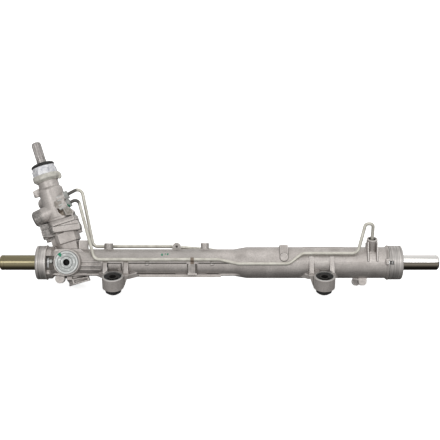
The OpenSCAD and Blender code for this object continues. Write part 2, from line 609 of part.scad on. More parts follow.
// Toothed rack bar: a flat cut on the back carries straight teeth between slanted gaps
gap_half = normal_pitch / 4 + backlash / 2;
gap_out = 1;
function gap_at(depth) = gap_half + (depth - pitch_plane) * tan(gear_pressure);
gap_count = floor((tooth_zone - gap_half) / rack_pitch);
module rack_gap() rotate([90, 0, -rack_tooth_angle]) linear_extrude(3 * bar_r, center = true)
    polygon([[-gap_at(rack_root), -rack_root], [gap_at(rack_root), -rack_root],
        [gap_at(tooth_flat + gap_out), -tooth_flat - gap_out],
        [-gap_at(tooth_flat + gap_out), -tooth_flat - gap_out]]);
module rack_bar() color([0.62, 0.6, 0.54]) gear_frame() difference() {
    turned(concat([[bar_left_x, 0], [bar_left_x, bar_r - 3], [bar_left_x + 3, bar_r]],
        groove(bar_left_x + 9, bar_r, 1.6, 0.8),
        groove(piston_x - piston_w / 2 - 1, bar_r, 2, 1.2),
        groove(piston_x + piston_w / 2 + 1, bar_r, 2, 1.2),
        [[bar_right_x - 3, bar_r], [bar_right_x, bar_r - 3], [bar_right_x, 0]]));
    translate([pinion_x - tooth_zone, -bar_d, -tooth_flat - bar_d])
        cube([2 * tooth_zone, 2 * bar_d, bar_d]);
    for (k = [-gap_count:gap_count]) translate([pinion_x + k * rack_pitch, 0, 0]) rack_gap();
    turned([[bar_left_x - cut, 0], [bar_left_x - cut, socket_d / 2 + 1],
        [bar_left_x, socket_d / 2 + 1], [bar_left_x + 1, socket_d / 2],
        [bar_left_x + socket_depth, socket_d / 2], [bar_left_x + socket_depth + 4, 0]]);
    turned([[bar_right_x + cut, 0], [bar_right_x + cut, socket_d / 2 + 1],
        [bar_right_x, socket_d / 2 + 1], [bar_right_x - 1, socket_d / 2],
        [bar_right_x - socket_depth, socket_d / 2], [bar_right_x - socket_depth - 4, 0]]);
}
piston_r = cylinder_bore_r - 0.3;
module piston() color([0.5, 0.5, 0.5]) gear_frame() difference() {
    ring_x(piston_x - piston_w / 2, piston_w, bar_r + seat_gap, piston_r);
    ring_x(piston_x - 2, 4, piston_r - 2.5, piston_r + cut);
}
module piston_ring() color([0.85, 0.85, 0.8]) gear_frame()
    ring_x(piston_x - 1.95, 3.9, piston_r - 2.4, cylinder_bore_r - run_gap);
module piston_clips() color([0.35, 0.35, 0.35]) gear_frame() for (side = [-1, 1])
    ring_x(piston_x + side * (piston_w / 2 + 1) - 0.9, 1.8, bar_r - 1.15, bar_r + 1.8);

// Helical pinion: one tooth faces the rack at the middle of the teeth
flank_steps = 3;
function involute(a) = tan(a) - a * PI / 180;
function half_tooth(r) = 180 / PI * (tooth_width / (2 * pitch_r) + involute(transverse_pressure)
    - involute(acos(min(1, base_r / r))));
function flank_r(i) = base_r + (tip_r - base_r) * i / flank_steps;
module pinion_teeth_2d() polygon([for (k = [0:pinion_teeth - 1]) let (c = 360 * k / pinion_teeth - 90)
    each concat([[root_r * cos(c - half_tooth(base_r)), root_r * sin(c - half_tooth(base_r))]],
        [for (i = [0:flank_steps]) let (r = flank_r(i), a = c - half_tooth(r)) [r * cos(a), r * sin(a)]],
        [for (i = [flank_steps:-1:0]) let (r = flank_r(i), a = c + half_tooth(r)) [r * cos(a), r * sin(a)]],
        [[root_r * cos(c + half_tooth(base_r)), root_r * sin(c + half_tooth(base_r))]])]);
module pinion() color([0.6, 0.6, 0.6]) tower_frame() {
    turn = helix_turn * gear_face;
    rotate([0, 0, -turn / 2]) translate([0, 0, -gear_half])
        linear_extrude(gear_face, twist = -turn, slices = 12) pinion_teeth_2d();
    disc_z(bearing_foot_h - nut_h, bearing_foot_h * -1 + nut_h - gear_half - 1, bearing_bore_r - seat_gap);
    disc_z(bearing_shoulder_h + 0.1, 0.9 - bearing_shoulder_h - gear_half, bearing_bore_r + 2.4);
    difference() {
        union() {
            disc_z(gear_half - 1, head_h - gear_half + 2, shank_r);
            disc_z(head_h, spigot_h - head_h, head_r);
            disc_z(spigot_h - 1, spigot_top_h - spigot_h + 1, spigot_r);
        }
        disc_z(torsion_foot_h, 60, torsion_foot_r + run_gap);
        intersection() {
            disc_z(tongue_h - 0.5, 60, tongue_r + run_gap);
            translate([-20, -slot_half_w, 0]) cube([40, 2 * slot_half_w, 200]);
        }
    }
}
module pinion_nut() color([0.7, 0.68, 0.5]) tower_frame() translate([0, 0, bearing_foot_h - nut_h])
    difference() {
        cylinder(r = 10.4, h = nut_h - 0.1, $fn = 6);
        translate([0, 0, -cut]) cylinder(r = bearing_bore_r, h = nut_h + 2 * cut);
    }

// Ball bearing at the foot of the pinion
module ball_groove() torus_z(bearing_foot_h + bearing_w / 2, bearing_pitch_r, ball_r + run_gap);
module bearing_inner_race() color([0.7, 0.7, 0.72]) tower_frame() difference() {
    ring_z(bearing_foot_h, bearing_w, bearing_bore_r, bearing_pitch_r - 1.8);
    ball_groove();
}
module bearing_outer_race() color([0.7, 0.7, 0.72]) tower_frame() difference() {
    ring_z(bearing_foot_h, bearing_w, bearing_pitch_r + 1.8, bearing_outer_r);
    ball_groove();
}
module at_balls() for (k = [0:ball_count - 1]) rotate([0, 0, 360 * k / ball_count])
    translate([bearing_pitch_r, 0, bearing_foot_h + bearing_w / 2]) children();
module bearing_balls() color([0.8, 0.8, 0.82]) tower_frame() at_balls() sphere(r = ball_r);
module bearing_cage() color([0.6, 0.5, 0.3]) tower_frame() difference() {
    ring_z(bearing_foot_h + 1.4, bearing_w - 2.8, bearing_pitch_r - 0.8, bearing_pitch_r + 0.8);
    at_balls() rotate([0, 90, 0]) cylinder(r = ball_r + run_gap, h = 6, center = true);
}
module bottom_cap() color([0.66, 0.64, 0.6]) tower_frame() difference() {
    disc_z(-tower_depth + 0.6, 2, bearing_outer_r);
    disc_z(-tower_depth - cut, 0.8 + cut, bearing_outer_r - 3);
}
module pinion_bush() color([0.6, 0.5, 0.3]) tower_frame()
    ring_z(pinion_bush_h + 0.1, pinion_bush_l - 0.2, shank_r + run_gap, pinion_bush_r);
module pinion_seal() color([0.1, 0.1, 0.1]) tower_frame()
    ring_z(pinion_seal_h, pinion_seal_l, shank_r + run_gap, pinion_seal_r);

// Rotary valve: sleeve pinned to the pinion, input shaft inside it, torsion bar between them
sleeve_ring_hs = [for (k = [0:3]) body_h - 4 + k * (sleeve_top_h - body_h) / 3.6];
module valve_sleeve() color([0.68, 0.68, 0.66]) tower_frame() difference() {
    ring_z(spigot_h + 0.1, sleeve_top_h - spigot_h - 0.1, input_r + run_gap, sleeve_r);
    disc_z(spigot_h - cut, spigot_top_h - spigot_h + cut + 0.2, spigot_r + seat_gap);
    for (h = sleeve_ring_hs) ring_z(h, 2.2, sleeve_r - 1.5, sleeve_r + cut);
    for (k = [0:2]) for (a = [0, 90]) translate([0, 0, sleeve_ring_hs[k] + 6.4])
        rotate([0, 90, a + 45 * k]) cylinder(r = 1.6, h = 2 * valve_sleeve_d, center = true);
    translate([0, 0, spigot_h + 5]) rotate([0, 90, 0]) cylinder(r = 1.5 + seat_gap, h = sleeve_r + 2);
}
module sleeve_rings() color([0.1, 0.2, 0.15]) tower_frame() for (h = sleeve_ring_hs)
    ring_z(h + 0.1, 2, sleeve_r - 1.4, sleeve_r);
module sleeve_pin() color([0.5, 0.5, 0.5]) tower_frame() translate([0, 0, spigot_h + 5])
    rotate([0, 90, 0]) translate([0, 0, spigot_r]) cylinder(r = 1.5, h = sleeve_r - spigot_r - 0.3);
module torsion_bar() color([0.55, 0.55, 0.57]) tower_frame() {
    disc_z(torsion_foot_h + 0.1, tongue_h - torsion_foot_h - 1.2, torsion_foot_r);
    disc_z(torsion_foot_h + 1, torsion_pin_h - 5 - torsion_foot_h, torsion_bar_d / 2);
    difference() {
        disc_z(torsion_pin_h - torsion_head_l / 2, torsion_head_l, input_bore_r - seat_gap);
        torsion_pin_hole();
    }
}
module torsion_pin_hole() translate([0, 0, torsion_pin_h]) rotate([0, 90, 0])
    cylinder(r = 1.5 + seat_gap, h = 4 * input_r, center = true);
module torsion_pin() color([0.5, 0.5, 0.5]) tower_frame() translate([0, 0, torsion_pin_h])
    rotate([0, 90, 0]) cylinder(r = 1.5, h = 2 * input_thin_r - 0.4, center = true);
module input_shaft() color([0.58, 0.56, 0.55]) tower_frame() difference() {
    union() {
        intersection() {
            disc_z(tongue_h, spigot_top_h - tongue_h + 1, tongue_r);
            translate([-20, -tongue_half_w, 0]) cube([40, 2 * tongue_half_w, 200]);
        }
        disc_z(spigot_top_h + 0.2, input_step_h - spigot_top_h - 0.2, input_r);
        disc_z(input_step_h - 1, spline_foot_h - input_step_h + 1, input_thin_r);
        disc_z(spline_foot_h - 1, spline_relief_l + 2, spline_relief_r);
        disc_z(spline_foot_h + spline_relief_l, input_top_h - 2 - spline_foot_h - spline_relief_l,
            spline_r);
        translate([0, 0, input_top_h - 2]) cylinder(r1 = spline_r, r2 = spline_r - 1.5, h = 2);
    }
    disc_z(tongue_h - cut, torsion_pin_h + torsion_head_l - tongue_h + cut, input_bore_r);
    for (k = [0:5]) rotate([0, 0, 60 * k + 15])
        translate([input_r - 0.8, -1.5, body_h + 2]) cube([3, 3, sleeve_top_h - body_h - 6]);
    for (k = [0:spline_count - 1]) rotate([0, 0, 360 * k / spline_count])
        translate([spline_r, 0, spline_foot_h + spline_relief_l / 2]) rotate([0, 0, 45])
            translate([-0.22, -0.22, 0]) cube([0.44, 0.44, 40]);
    torsion_pin_hole();
}

// Valve housing with its flange, port bosses and the neck that carries the cap
valve_flange_r = flange_r - 1.2;
valve_outline = [[0, joint_h - cut], [valve_flange_r, joint_h - cut],
    [valve_flange_r, body_h - 2.2], [valve_flange_r - 2, body_h - 0.6],
    [valve_body_r + 1.5, body_h + 2], [valve_body_r, body_h + 5], [valve_body_r, neck_h - 3],
    [neck_r + 1, neck_h], [neck_r, neck_h + 0.8], [neck_r, neck_top_h], [0, neck_top_h]];
inlet_h = body_h + 18;
module inlet_frame() translate([0, -6, inlet_h]) rotate([0, -98, 0]) children();
inlet_reach = valve_body_r + 22;
// The return port looks to the back left, over the inlet
return_h = inlet_h + 21;
return_reach = valve_body_r + 15;
module return_frame() translate([0, 0, return_h]) rotate([0, 90, 130]) children();
module valve_body() {
    rotate_extrude() polygon(valve_outline);
    for (s = flange_bolt_spots) {
        translate([s.x, s.y, joint_h - cut]) cylinder(r = flange_lobe_r, h = flange_t + cut);
        rotate([0, 0, atan2(s.y, s.x)]) translate([0, -9, joint_h - cut])
            cube([flange_bolt_ring, 18, flange_t - 2.5 + cut]);
    }
    inlet_frame() {
        cylinder(r = 15, h = inlet_reach - 4);
        translate([0, 0, inlet_reach - 4]) cylinder(r1 = 15, r2 = 11, h = 4);
    }
    return_frame() cylinder(r = 12, h = return_reach);
    for (s = valve_nut_spots) at_valve_nut(s) cylinder(r = valve_nut_boss_r, h = valve_nut_face);
    translate([0, valve_nut_spots[0][0] - 7, valve_nut_spots[1][1] - 4])
        cube([valve_nut_face - 3, 16, valve_nut_spots[0][1] - valve_nut_spots[1][1] + 11]);
    translate([-33, 2, neck_h - 8]) linear_extrude(10) polygon([[0, 3], [3, 0], [20, -4], [20, 12], [3, 8]]);
}
// A drilling of radius r_in that widens to a tapping bore of radius r over its last 16 mm
port_tap_l = 16;
module port_bore(reach, r_in, r) rotate_extrude() polygon([[0, 0], [r_in, 0],
    [r_in, reach - port_tap_l - 2], [r, reach - port_tap_l], [r, reach + cut], [0, reach + cut]]);
module valve_housing() color([0.75, 0.73, 0.71]) tower_frame() difference() {
    valve_body();
    disc_z(joint_h - 2 * cut, 2 * cut, 2 * flange_bolt_ring);
    disc_z(joint_h - 2 * cut, neck_h, valve_bore_r);
    disc_z(sleeve_top_h + 2, input_bearing_h - sleeve_top_h, input_r + 2);
    disc_z(input_bearing_h, input_bearing_l + 3, input_bearing_r + seat_gap);
    disc_z(input_seal_h, 40, input_seal_r + seat_gap);
    for (s = flange_bolt_spots) translate([0, 0, 2 * cut]) bolt_hole(s, flange_bolt_r + 0.3);
    inlet_frame() port_bore(inlet_reach, 4, 8);
    return_frame() port_bore(return_reach, 3.5, 7);
    for (s = valve_nut_spots) at_valve_nut(s) {
        translate([0, 0, valve_nut_face - nut_thread_l - 0.2])
            cylinder(r = nut_thread_r + seat_gap, h = nut_thread_l + cut);
        cylinder(r = port_r, h = valve_nut_face);
    }
}
module flange_oring() color([0.1, 0.1, 0.1]) tower_frame()
    ring_z(joint_h - 1.65, 1.65, flange_oring_r - 1, flange_oring_r + 1);
module flange_bolt() {
    translate([0, 0, -flange_bolt_l + 2]) cylinder(r = flange_bolt_r, h = flange_bolt_l - 1);
    translate([0, 0, 0.02]) cylinder(r = flange_bolt_r + 4.2, h = 1.6);
    translate([0, 0, 1]) cylinder(r = flange_bolt_r + 3.4, h = flange_head_h, $fn = 6);
}
module flange_bolts() color([0.6, 0.6, 0.55]) tower_frame() {
    for (s = flange_bolt_spots) translate([s.x, s.y, joint_h + flange_t]) flange_bolt();
}
module input_bearing() color([0.7, 0.7, 0.7]) tower_frame()
    ring_z(input_bearing_h + 0.1, input_bearing_l, input_r + run_gap, input_bearing_r);
module input_seal() color([0.12, 0.1, 0.1]) tower_frame()
    ring_z(input_seal_h + 0.1, input_seal_l, input_r + run_gap, input_seal_r);
module collar_ring() color([0.75, 0.73, 0.62]) tower_frame() difference() {
    union() {
        translate([0, 0, collar_ring_h]) rotate_extrude() polygon([[neck_r - 2, 0],
            [collar_ring_r - 2, 0], [collar_ring_r, 2], [collar_ring_r, collar_ring_l - 1.5],
            [collar_ring_r - 1.5, collar_ring_l], [neck_r - 2, collar_ring_l]]);
        translate([cap_r + 1.2, -4, collar_ring_h]) cube([collar_ring_r - cap_r + 2, 8, collar_ring_l + 1]);
    }
    disc_z(collar_ring_h - cut, 2 * collar_ring_l, neck_r + seat_gap);
}
module valve_cap() color([0.86, 0.87, 0.9]) tower_frame() difference() {
    union() {
        translate([0, 0, cap_h]) rotate([0, 0, 22.5])
            cylinder(r = cap_r / cos(22.5), h = cap_flats_l, $fn = 8);
        disc_z(cap_h - 2.9, cap_l + 2.9, cap_r - 0.8);
    }
    disc_z(cap_h - 4, neck_top_h - cap_h + 4.2, neck_r + seat_gap);
    disc_z(cap_h, cap_l + cut, input_seal_r - 2);
}
module dust_seal() color([0.07, 0.07, 0.07]) tower_frame() translate([0, 0, dust_seal_h])
    rotate_extrude() polygon([[input_thin_r + run_gap + 3, 0.02], [cap_r - 1, 0.02], [cap_r, 1.2],
        [cap_r - 0.2, 3], [cap_r - 1.5, 4.2], [input_thin_r + 4.5, 4.2], [input_thin_r + 3, 3.4],
        [input_thin_r + 2, 3.6], [input_thin_r + 1.2, dust_seal_l], [input_thin_r + run_gap, dust_seal_l],
        [input_thin_r + run_gap, 2.6], [input_thin_r + 2.5, 2]]);

// Cylinder pipes with their nuts and the clip
function nut_point(i, d) = let (s = valve_nut_spots[i], reach = valve_nut_face + d)
    tower_to_gear([reach * cos(valve_nut_tilt), s[0], s[1] + reach * sin(valve_nut_tilt)]);
pipe_front = shelf_front + pipe_r + 0.3;
pipe_over = cylinder_r + pipe_r + 1.5;
front_pipe_corners = [[nut_point(1, -3)], [nut_point(1, 22), 9, 5], [[-220, 5, pipe_front], 12, 4],
    [[0, 5, pipe_front], 20, 2], [[34, -2.5, pipe_over], 20, 2], [[124, -2.5, pipe_over], 16, 3],
    [[148, 16, pipe_over - 3.5], 16, 3], [[246, 16, pipe_over - 3.5], 12, 4],
    [port_axis_to_gear(77) - [13.5, 0, 0], 6, 4], [port_axis_to_gear(77), 6, 5],
    [port_axis_to_gear(right_port_top - 12)]];
rear_pipe_corners = [[nut_point(0, -3)], [nut_point(0, 34), 10, 6], [[-227.5, 29, -14], 10, 5],
    [[-90, 29, -14], 30, 2], [[-20, 24, -26], 30, 2],
    [[50, rear_port_at.y, rear_port_at.z], 20, 2], [rear_port_at + [2, 0, 0]]];
module front_pipe() color([0.68, 0.67, 0.58]) gear_frame() swept_tube(bent_path(front_pipe_corners), pipe_r);
module rear_pipe() color([0.68, 0.67, 0.58]) gear_frame() swept_tube(bent_path(rear_pipe_corners), pipe_r);
// A hexagon nut with a hollow threaded spigot; Z points away from the port
module tube_nut() difference() {
    union() {
        translate([0, 0, -nut_thread_l]) cylinder(r = nut_thread_r, h = nut_thread_l + 1);
        rotate([0, 0, 30]) cylinder(r = nut_r, h = nut_hex_l, $fn = 6);
    }
    translate([0, 0, -nut_thread_l]) cylinder(r = pipe_r + seat_gap, h = nut_thread_l + nut_hex_l + cut);
}
module valve_nuts() color([0.6, 0.6, 0.58]) tower_frame() for (s = valve_nut_spots)
    at_valve_nut(s) translate([0, 0, valve_nut_face + 0.02]) tube_nut();
module right_port_nut() color([0.35, 0.35, 0.35]) on_rack_axis()
    ring_at_port();
module ring_at_port() translate([right_port_x, 0, 0])
    ring_z(right_port_top - 17, 13, pipe_r + seat_gap, right_port_bore_r - seat_gap);
module rear_port_nut() color([0.6, 0.6, 0.58]) gear_frame() translate(rear_port_at)
    translate([-0.02, 0, 0]) rotate([0, -90, 0]) tube_nut();
module pipe_clip() color([0.3, 0.3, 0.3]) gear_frame() difference() {
    union() {
        translate([-50, 5, pipe_front]) rotate([0, 90, 0]) cylinder(r = pipe_r + 0.9, h = 6);
        translate([-50, -3, shelf_front + 1.05]) cube([6, 8, 1.5]);
    }
    translate([-60, 5, pipe_front]) rotate([0, 90, 0]) cylinder(r = pipe_r + 0.02, h = 30);
    translate([-60, -40, -40 + shelf_front + 1.02]) cube([30, 80, 40]);
}

rack_housing();
left_mount_bush();
right_mount_bush();
left_mount_sleeve();
right_mount_sleeve();
rack_guide();
guide_liner();
guide_spring();
guide_plug();
guide_plug_oring();
left_end_bush();
left_lock_wire();
end_bush();
end_bush_oring();
right_lock_wire();
outer_rack_seal();
inner_rack_seal();
rack_bar();
piston();
piston_ring();
piston_clips();
pinion();
pinion_nut();
bearing_inner_race();
bearing_outer_race();
bearing_balls();
bearing_cage();
bottom_cap();
pinion_bush();
pinion_seal();
valve_sleeve();
sleeve_rings();
sleeve_pin();
torsion_bar();
torsion_pin();
input_shaft();
valve_housing();
flange_oring();
flange_bolts();
input_bearing();
input_seal();
collar_ring();
valve_cap();
dust_seal();
front_pipe();
rear_pipe();
valve_nuts();
right_port_nut();
rear_port_nut();
pipe_clip();
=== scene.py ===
"""Looks of the hydraulic steering rack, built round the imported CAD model. Lengths are in mm until `MM`."""
import json
import math

import bmesh
import bpy
from mathutils import Matrix, Vector


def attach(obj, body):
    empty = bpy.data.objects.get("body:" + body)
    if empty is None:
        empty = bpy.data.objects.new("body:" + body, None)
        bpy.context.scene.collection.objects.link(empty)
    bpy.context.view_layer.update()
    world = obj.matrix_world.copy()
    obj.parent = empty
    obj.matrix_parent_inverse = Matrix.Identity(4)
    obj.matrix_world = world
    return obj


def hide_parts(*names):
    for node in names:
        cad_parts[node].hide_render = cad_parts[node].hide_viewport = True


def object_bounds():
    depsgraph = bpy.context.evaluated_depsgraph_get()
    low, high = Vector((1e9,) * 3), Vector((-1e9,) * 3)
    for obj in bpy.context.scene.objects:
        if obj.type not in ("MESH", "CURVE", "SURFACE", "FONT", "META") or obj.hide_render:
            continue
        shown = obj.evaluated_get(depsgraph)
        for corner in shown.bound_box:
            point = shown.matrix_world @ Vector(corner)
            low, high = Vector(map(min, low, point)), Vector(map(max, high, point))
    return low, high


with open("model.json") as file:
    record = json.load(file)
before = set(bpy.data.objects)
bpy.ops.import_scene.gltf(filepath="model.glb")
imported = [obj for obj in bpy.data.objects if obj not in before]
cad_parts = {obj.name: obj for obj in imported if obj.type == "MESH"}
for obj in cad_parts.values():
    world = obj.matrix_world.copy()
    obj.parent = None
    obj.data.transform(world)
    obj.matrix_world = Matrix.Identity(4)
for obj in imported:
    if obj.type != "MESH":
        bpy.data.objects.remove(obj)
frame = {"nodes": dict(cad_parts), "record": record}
CAD_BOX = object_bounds()
MM = 0.001


def at(place, x=0, y=0, z=0):
    """A frame moved along its own axes."""
    return place @ Matrix.Translation((x, y, z))


def spin(degrees, axis):
    """A turn about one of the three axes."""
    return Matrix.Rotation(math.radians(degrees), 4, axis)


def turns(sides):
    """Angles of the points on a circle."""
    return [2 * math.pi * k / sides for k in range(sides)]


# Frames of the CAD source: the rack axis, the gear plane, the pinion tower and the rack guide
PINION_X = -264
CENTRE = 16.1198
ROW = Matrix.Identity(4)
RACK = at(ROW, 0, 49, 35)
GEAR = RACK @ spin(62, "X")
TOWER = at(GEAR, PINION_X, 0, -CENTRE) @ spin(18, "Z") @ spin(-90, "X")
GUIDE = at(GEAR, PINION_X - 3)
# FACING has X across the tower, Y up along it and Z out of its front. BAR has Z along the rack.
FACING = TOWER @ spin(90, "X")
ALONG = spin(90, "Y")
BAR = GEAR @ ALONG


class Form:
    """Closed solids gathered in one mesh. Points are in mm and go through a frame of the CAD source."""

    def __init__(self):
        self.bm = bmesh.new()
        self.material = 0

    def vert(self, point):
        """Adds a corner at a point in mm of the row's frame."""
        return self.bm.verts.new(point * MM)

    def face(self, corners):
        """Adds a face between corners, in the form's material slot."""
        self.bm.faces.new(corners).material_index = self.material

    def prism(self, place, outline, low, high):
        """A flat outline of (x, y) points, counter-clockwise, drawn up from low to high."""
        n = len(outline)
        points = [(x, y, low) for x, y in outline] + [(x, y, high) for x, y in outline]
        verts = [self.vert(place @ Vector(p)) for p in points]
        for i in range(n):
            j = (i + 1) % n
            self.face([verts[i], verts[j], verts[n + j], verts[n + i]])
        self.face(verts[n - 1::-1])
        self.face(verts[n:])

    def box(self, place, low, high):
        """A box between its lowest and highest corner."""
        outline = [(low[0], low[1]), (high[0], low[1]), (high[0], high[1]), (low[0], high[1])]
        self.prism(place, outline, low[2], high[2])

    def turned(self, place, outline, sides=96):
        """An outline of (radius, height) points turned about Z, from axis to axis or closed as a ring."""
        on_axis = outline[0][0] == 0 and outline[-1][0] == 0
        rings = []
        for r, z in outline:
            points = [(r * math.cos(a), r * math.sin(a), z) for a in (turns(sides) if r else [0])]
            rings.append([self.vert(place @ Vector(p)) for p in points])
        pairs = list(zip(rings, rings[1:]))
        if not on_axis:
            pairs.append((rings[-1], rings[0]))
        for a, b in pairs:
            for k in range(sides):
                j = (k + 1) % sides
                corners = [a[k % len(a)], a[j % len(a)], b[j % len(b)], b[k % len(b)]]
                corners = [v for i, v in enumerate(corners) if v not in corners[:i]]
                if len(corners) > 2:
                    self.face(corners)

    def cylinder(self, place, r, low, high):
        """A cylinder along Z, from low to high."""
        self.turned(place, [(0, low), (r, low), (r, high), (0, high)], 64)

    def ring(self, place, low, high, r_in, r_out):
        """A ring round Z, square in section."""
        self.turned(place, [(r_in, low), (r_out, low), (r_out, high), (r_in, high)])

    def tube(self, points, r, sides=24):
        """A round bar along a list of points in mm of the row's frame."""
        rings, side = [], None
        for i, p in enumerate(points):
            way = (points[min(i + 1, len(points) - 1)] - points[max(i - 1, 0)]).normalized()
            side = way.orthogonal() if side is None else side
            side = (side - side.project(way)).normalized()
            over = way.cross(side)
            rings.append([self.vert(p + r * (side * math.cos(a) + over * math.sin(a)))
                          for a in turns(sides)])
        for a, b in zip(rings, rings[1:]):
            for k in range(sides):
                self.face([a[k], a[k - 1], b[k - 1], b[k]])
        self.face(rings[0])
        self.face(rings[-1][::-1])

    def node(self, name):
        """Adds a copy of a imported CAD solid."""
        part = bmesh.new()
        part.from_mesh(frame["nodes"][name].data)
        bmesh.ops.remove_doubles(part, verts=part.verts, dist=1e-7)
        made = bpy.data.meshes.new("part")
        part.to_mesh(made)
        part.free()
        self.bm.from_mesh(made)
        bpy.data.meshes.remove(made)

    def mesh(self, name):
        """Ends the form as a mesh with its faces turned outward."""
        bmesh.ops.recalc_face_normals(self.bm, faces=self.bm.faces)
        made = bpy.data.meshes.new(name)
        self.bm.to_mesh(made)
        self.bm.free()
        return made


def new_object(name, data):
    """An object in the scene, made of a mesh, a lamp or a camera."""
    made = bpy.data.objects.new(name, data)
    bpy.context.scene.collection.objects.link(made)
    return made


def paint(obj, *materials):
    """Adds materials to an object's mesh, in the order of their index."""
    for material in materials:
        obj.data.materials.append(material)


def applied(obj):
    """Turns an object's modifiers into its mesh."""
    bpy.context.view_layer.update()
    made = bpy.data.meshes.new_from_object(obj.evaluated_get(bpy.context.evaluated_depsgraph_get()))
    obj.modifiers.clear()
    obj.data = made
    return obj


def cast(name, form, voxel, rounds):
    """Melts the solids of a form into one skin and softens it as a casting's fillets do."""
    obj = new_object(name, form.mesh(name))
    remesh = obj.modifiers.new("melt", "REMESH")
    remesh.mode = "VOXEL"
    remesh.voxel_size = voxel * MM
    smooth = obj.modifiers.new("soften", "SMOOTH")
    smooth.factor = 0.5
    smooth.iterations = rounds
    return applied(obj)


def machined(obj, cutter):
    """Cuts a closed form out of a piece. The cut faces keep the form's material slot."""
    tool = new_object("cutter", cutter.mesh("cutter"))
    paint(tool, *obj.data.materials)
    cut = obj.modifiers.new("cut", "BOOLEAN")
    cut.operation = "DIFFERENCE"
    cut.solver = "MANIFOLD"
    cut.object = tool
    applied(obj)
    bpy.data.objects.remove(tool)


# Degrees between two faces from which an edge counts as sharp
SHARP = 35


def shade(obj, angle=SHARP):
    """Smooth shading, with sharp edges where faces meet at more than the angle."""
    obj.data.shade_smooth()
    obj.data.set_sharp_from_angle(angle=math.radians(angle))


class Nodes:
    """A node tree, put together one node at a time. An input is a value or another node's output."""

    def __init__(self, tree):
        self.tree = tree

    def feed(self, socket, value):
        """Links an output to a socket, or sets the socket to a value."""
        if hasattr(value, "links"):
            self.tree.links.new(value, socket)
        else:
            socket.default_value = value

    def node(self, kind, inputs=None, **settings):
        """Adds a node with its inputs, by name or number, and its settings."""
        made = self.tree.nodes.new("ShaderNode" + kind)
        for key, value in settings.items():
            setattr(made, key, value)
        for key, value in (inputs or {}).items():
            self.feed(made.inputs[key], value)
        return made

    def ramp(self, value, low, high, to_low=0.0, to_high=1.0):
        """Maps low to to_low and high to to_high, and keeps what lies outside at the nearer end."""
        return self.node("MapRange", {"Value": value, "From Min": low, "From Max": high,
                                      "To Min": to_low, "To Max": to_high},
                         clamp=True).outputs["Result"]

    def math(self, operation, *values):
        """One step of arithmetic on numbers or outputs."""
        return self.node("Math", dict(enumerate(values)), operation=operation).outputs[0]

    def vector_math(self, operation, *values):
        """One step of arithmetic on vectors."""
        return self.node("VectorMath", dict(enumerate(values)), operation=operation)


class Look(Nodes):
    """A material with one shader."""

    def __init__(self, name, colour, metallic, roughness):
        self.material = bpy.data.materials.new(name)
        self.material.use_nodes = True
        super().__init__(self.material.node_tree)
        self.shader = self.tree.nodes["Principled BSDF"]
        self.set("Base Color", (*colour, 1))
        self.set("Metallic", metallic)
        self.set("Roughness", roughness)
        self.normal = None

    def set(self, socket, value):
        """Feeds one of the shader's sockets."""
        self.feed(self.shader.inputs[socket], value)

    def place(self):
        """Where a point of the surface is, in metres."""
        return self.node("TexCoord").outputs["Object"]

    def noise(self, scale, detail=3.0, rough=0.55, stretch=None):
        """Noise between 0 and 1. The scale counts its lumps in a metre."""
        vector = self.place()
        if stretch:
            vector = self.node("Mapping", {"Vector": vector, "Scale": stretch}).outputs["Vector"]
        return self.node("TexNoise", {"Vector": vector, "Scale": scale, "Detail": detail,
                                      "Roughness": rough}).outputs["Fac"]

    def mix(self, share, a, b):
        """Blends two colours by a share, given as an output."""
        made = self.node("Mix", {"Factor": share}, data_type="RGBA")
        for socket, value in ((made.inputs[6], a), (made.inputs[7], b)):
            self.feed(socket, (*value, 1) if isinstance(value, tuple) else value)
        return made.outputs[2]

    def from_axis(self, place):
        """Distance in metres from the Z axis of a frame given in mm."""
        centre = place.translation * MM
        way = (place.to_3x3() @ Vector((0, 0, 1))).normalized()
        arm = self.vector_math("SUBTRACT", self.place(), tuple(centre)).outputs["Vector"]
        across = self.vector_math("CROSS_PRODUCT", arm, tuple(way)).outputs["Vector"]
        return self.vector_math("LENGTH", across).outputs["Value"]

    def band(self, value, low, high, edge):
        """1 between low and high, falling to 0 over the edge."""
        rise = self.ramp(value, low - edge, low)
        return self.math("MULTIPLY", rise, self.ramp(value, high, high + edge, 1.0, 0.0))

    def bump(self, height, distance, strength=1.0):
        """Adds a bump over those before it. The distance is in metres."""
        inputs = {"Height": height, "Distance": distance, "Strength": strength}
        if self.normal:
            inputs["Normal"] = self.normal
        self.normal = self.node("Bump", inputs).outputs["Normal"]
        self.set("Normal", self.normal)

    def spot(self, centre, size, edge=0.35):
        """1 inside a ragged dab round a point in mm, 0 outside."""
        centre = tuple(c * MM for c in centre)
        away = self.vector_math("DISTANCE", self.place(), centre).outputs["Value"]
        ragged = self.math("MULTIPLY_ADD", self.noise(900, 2.0), size * MM * edge * 2, -size * MM * edge)
        return self.ramp(self.math("ADD", away, ragged), size * MM * 0.85, size * MM, 1.0, 0.0)


def aim(obj, way):
    """Turns a camera or lamp to look along a direction."""
    obj.rotation_mode = "QUATERNION"
    obj.rotation_quaternion = way.to_track_quat("-Z", "Y")


# Camera at the photograph's place, in metres: 25 degrees above the rack, square to it
ELEVATION = math.radians(25.2)
DISTANCE = 1.71
FOCAL_PX, PHOTO_PX = 950, 440
SENSOR = 36
RACK_BELOW_PX = 42.5
RACK_MIDDLE = Vector((0.00235, 0.049, 0.035))
forward = Vector((0, math.cos(ELEVATION), -math.sin(ELEVATION)))
above = Vector((0, math.sin(ELEVATION), math.cos(ELEVATION)))
camera = new_object("camera", bpy.data.cameras.new("camera"))
camera.data.sensor_width = SENSOR
camera.data.lens = SENSOR * FOCAL_PX / PHOTO_PX
camera.location = RACK_MIDDLE - forward * DISTANCE + above * (RACK_BELOW_PX * DISTANCE / FOCAL_PX)
aim(camera, forward)
bpy.context.scene.camera = camera

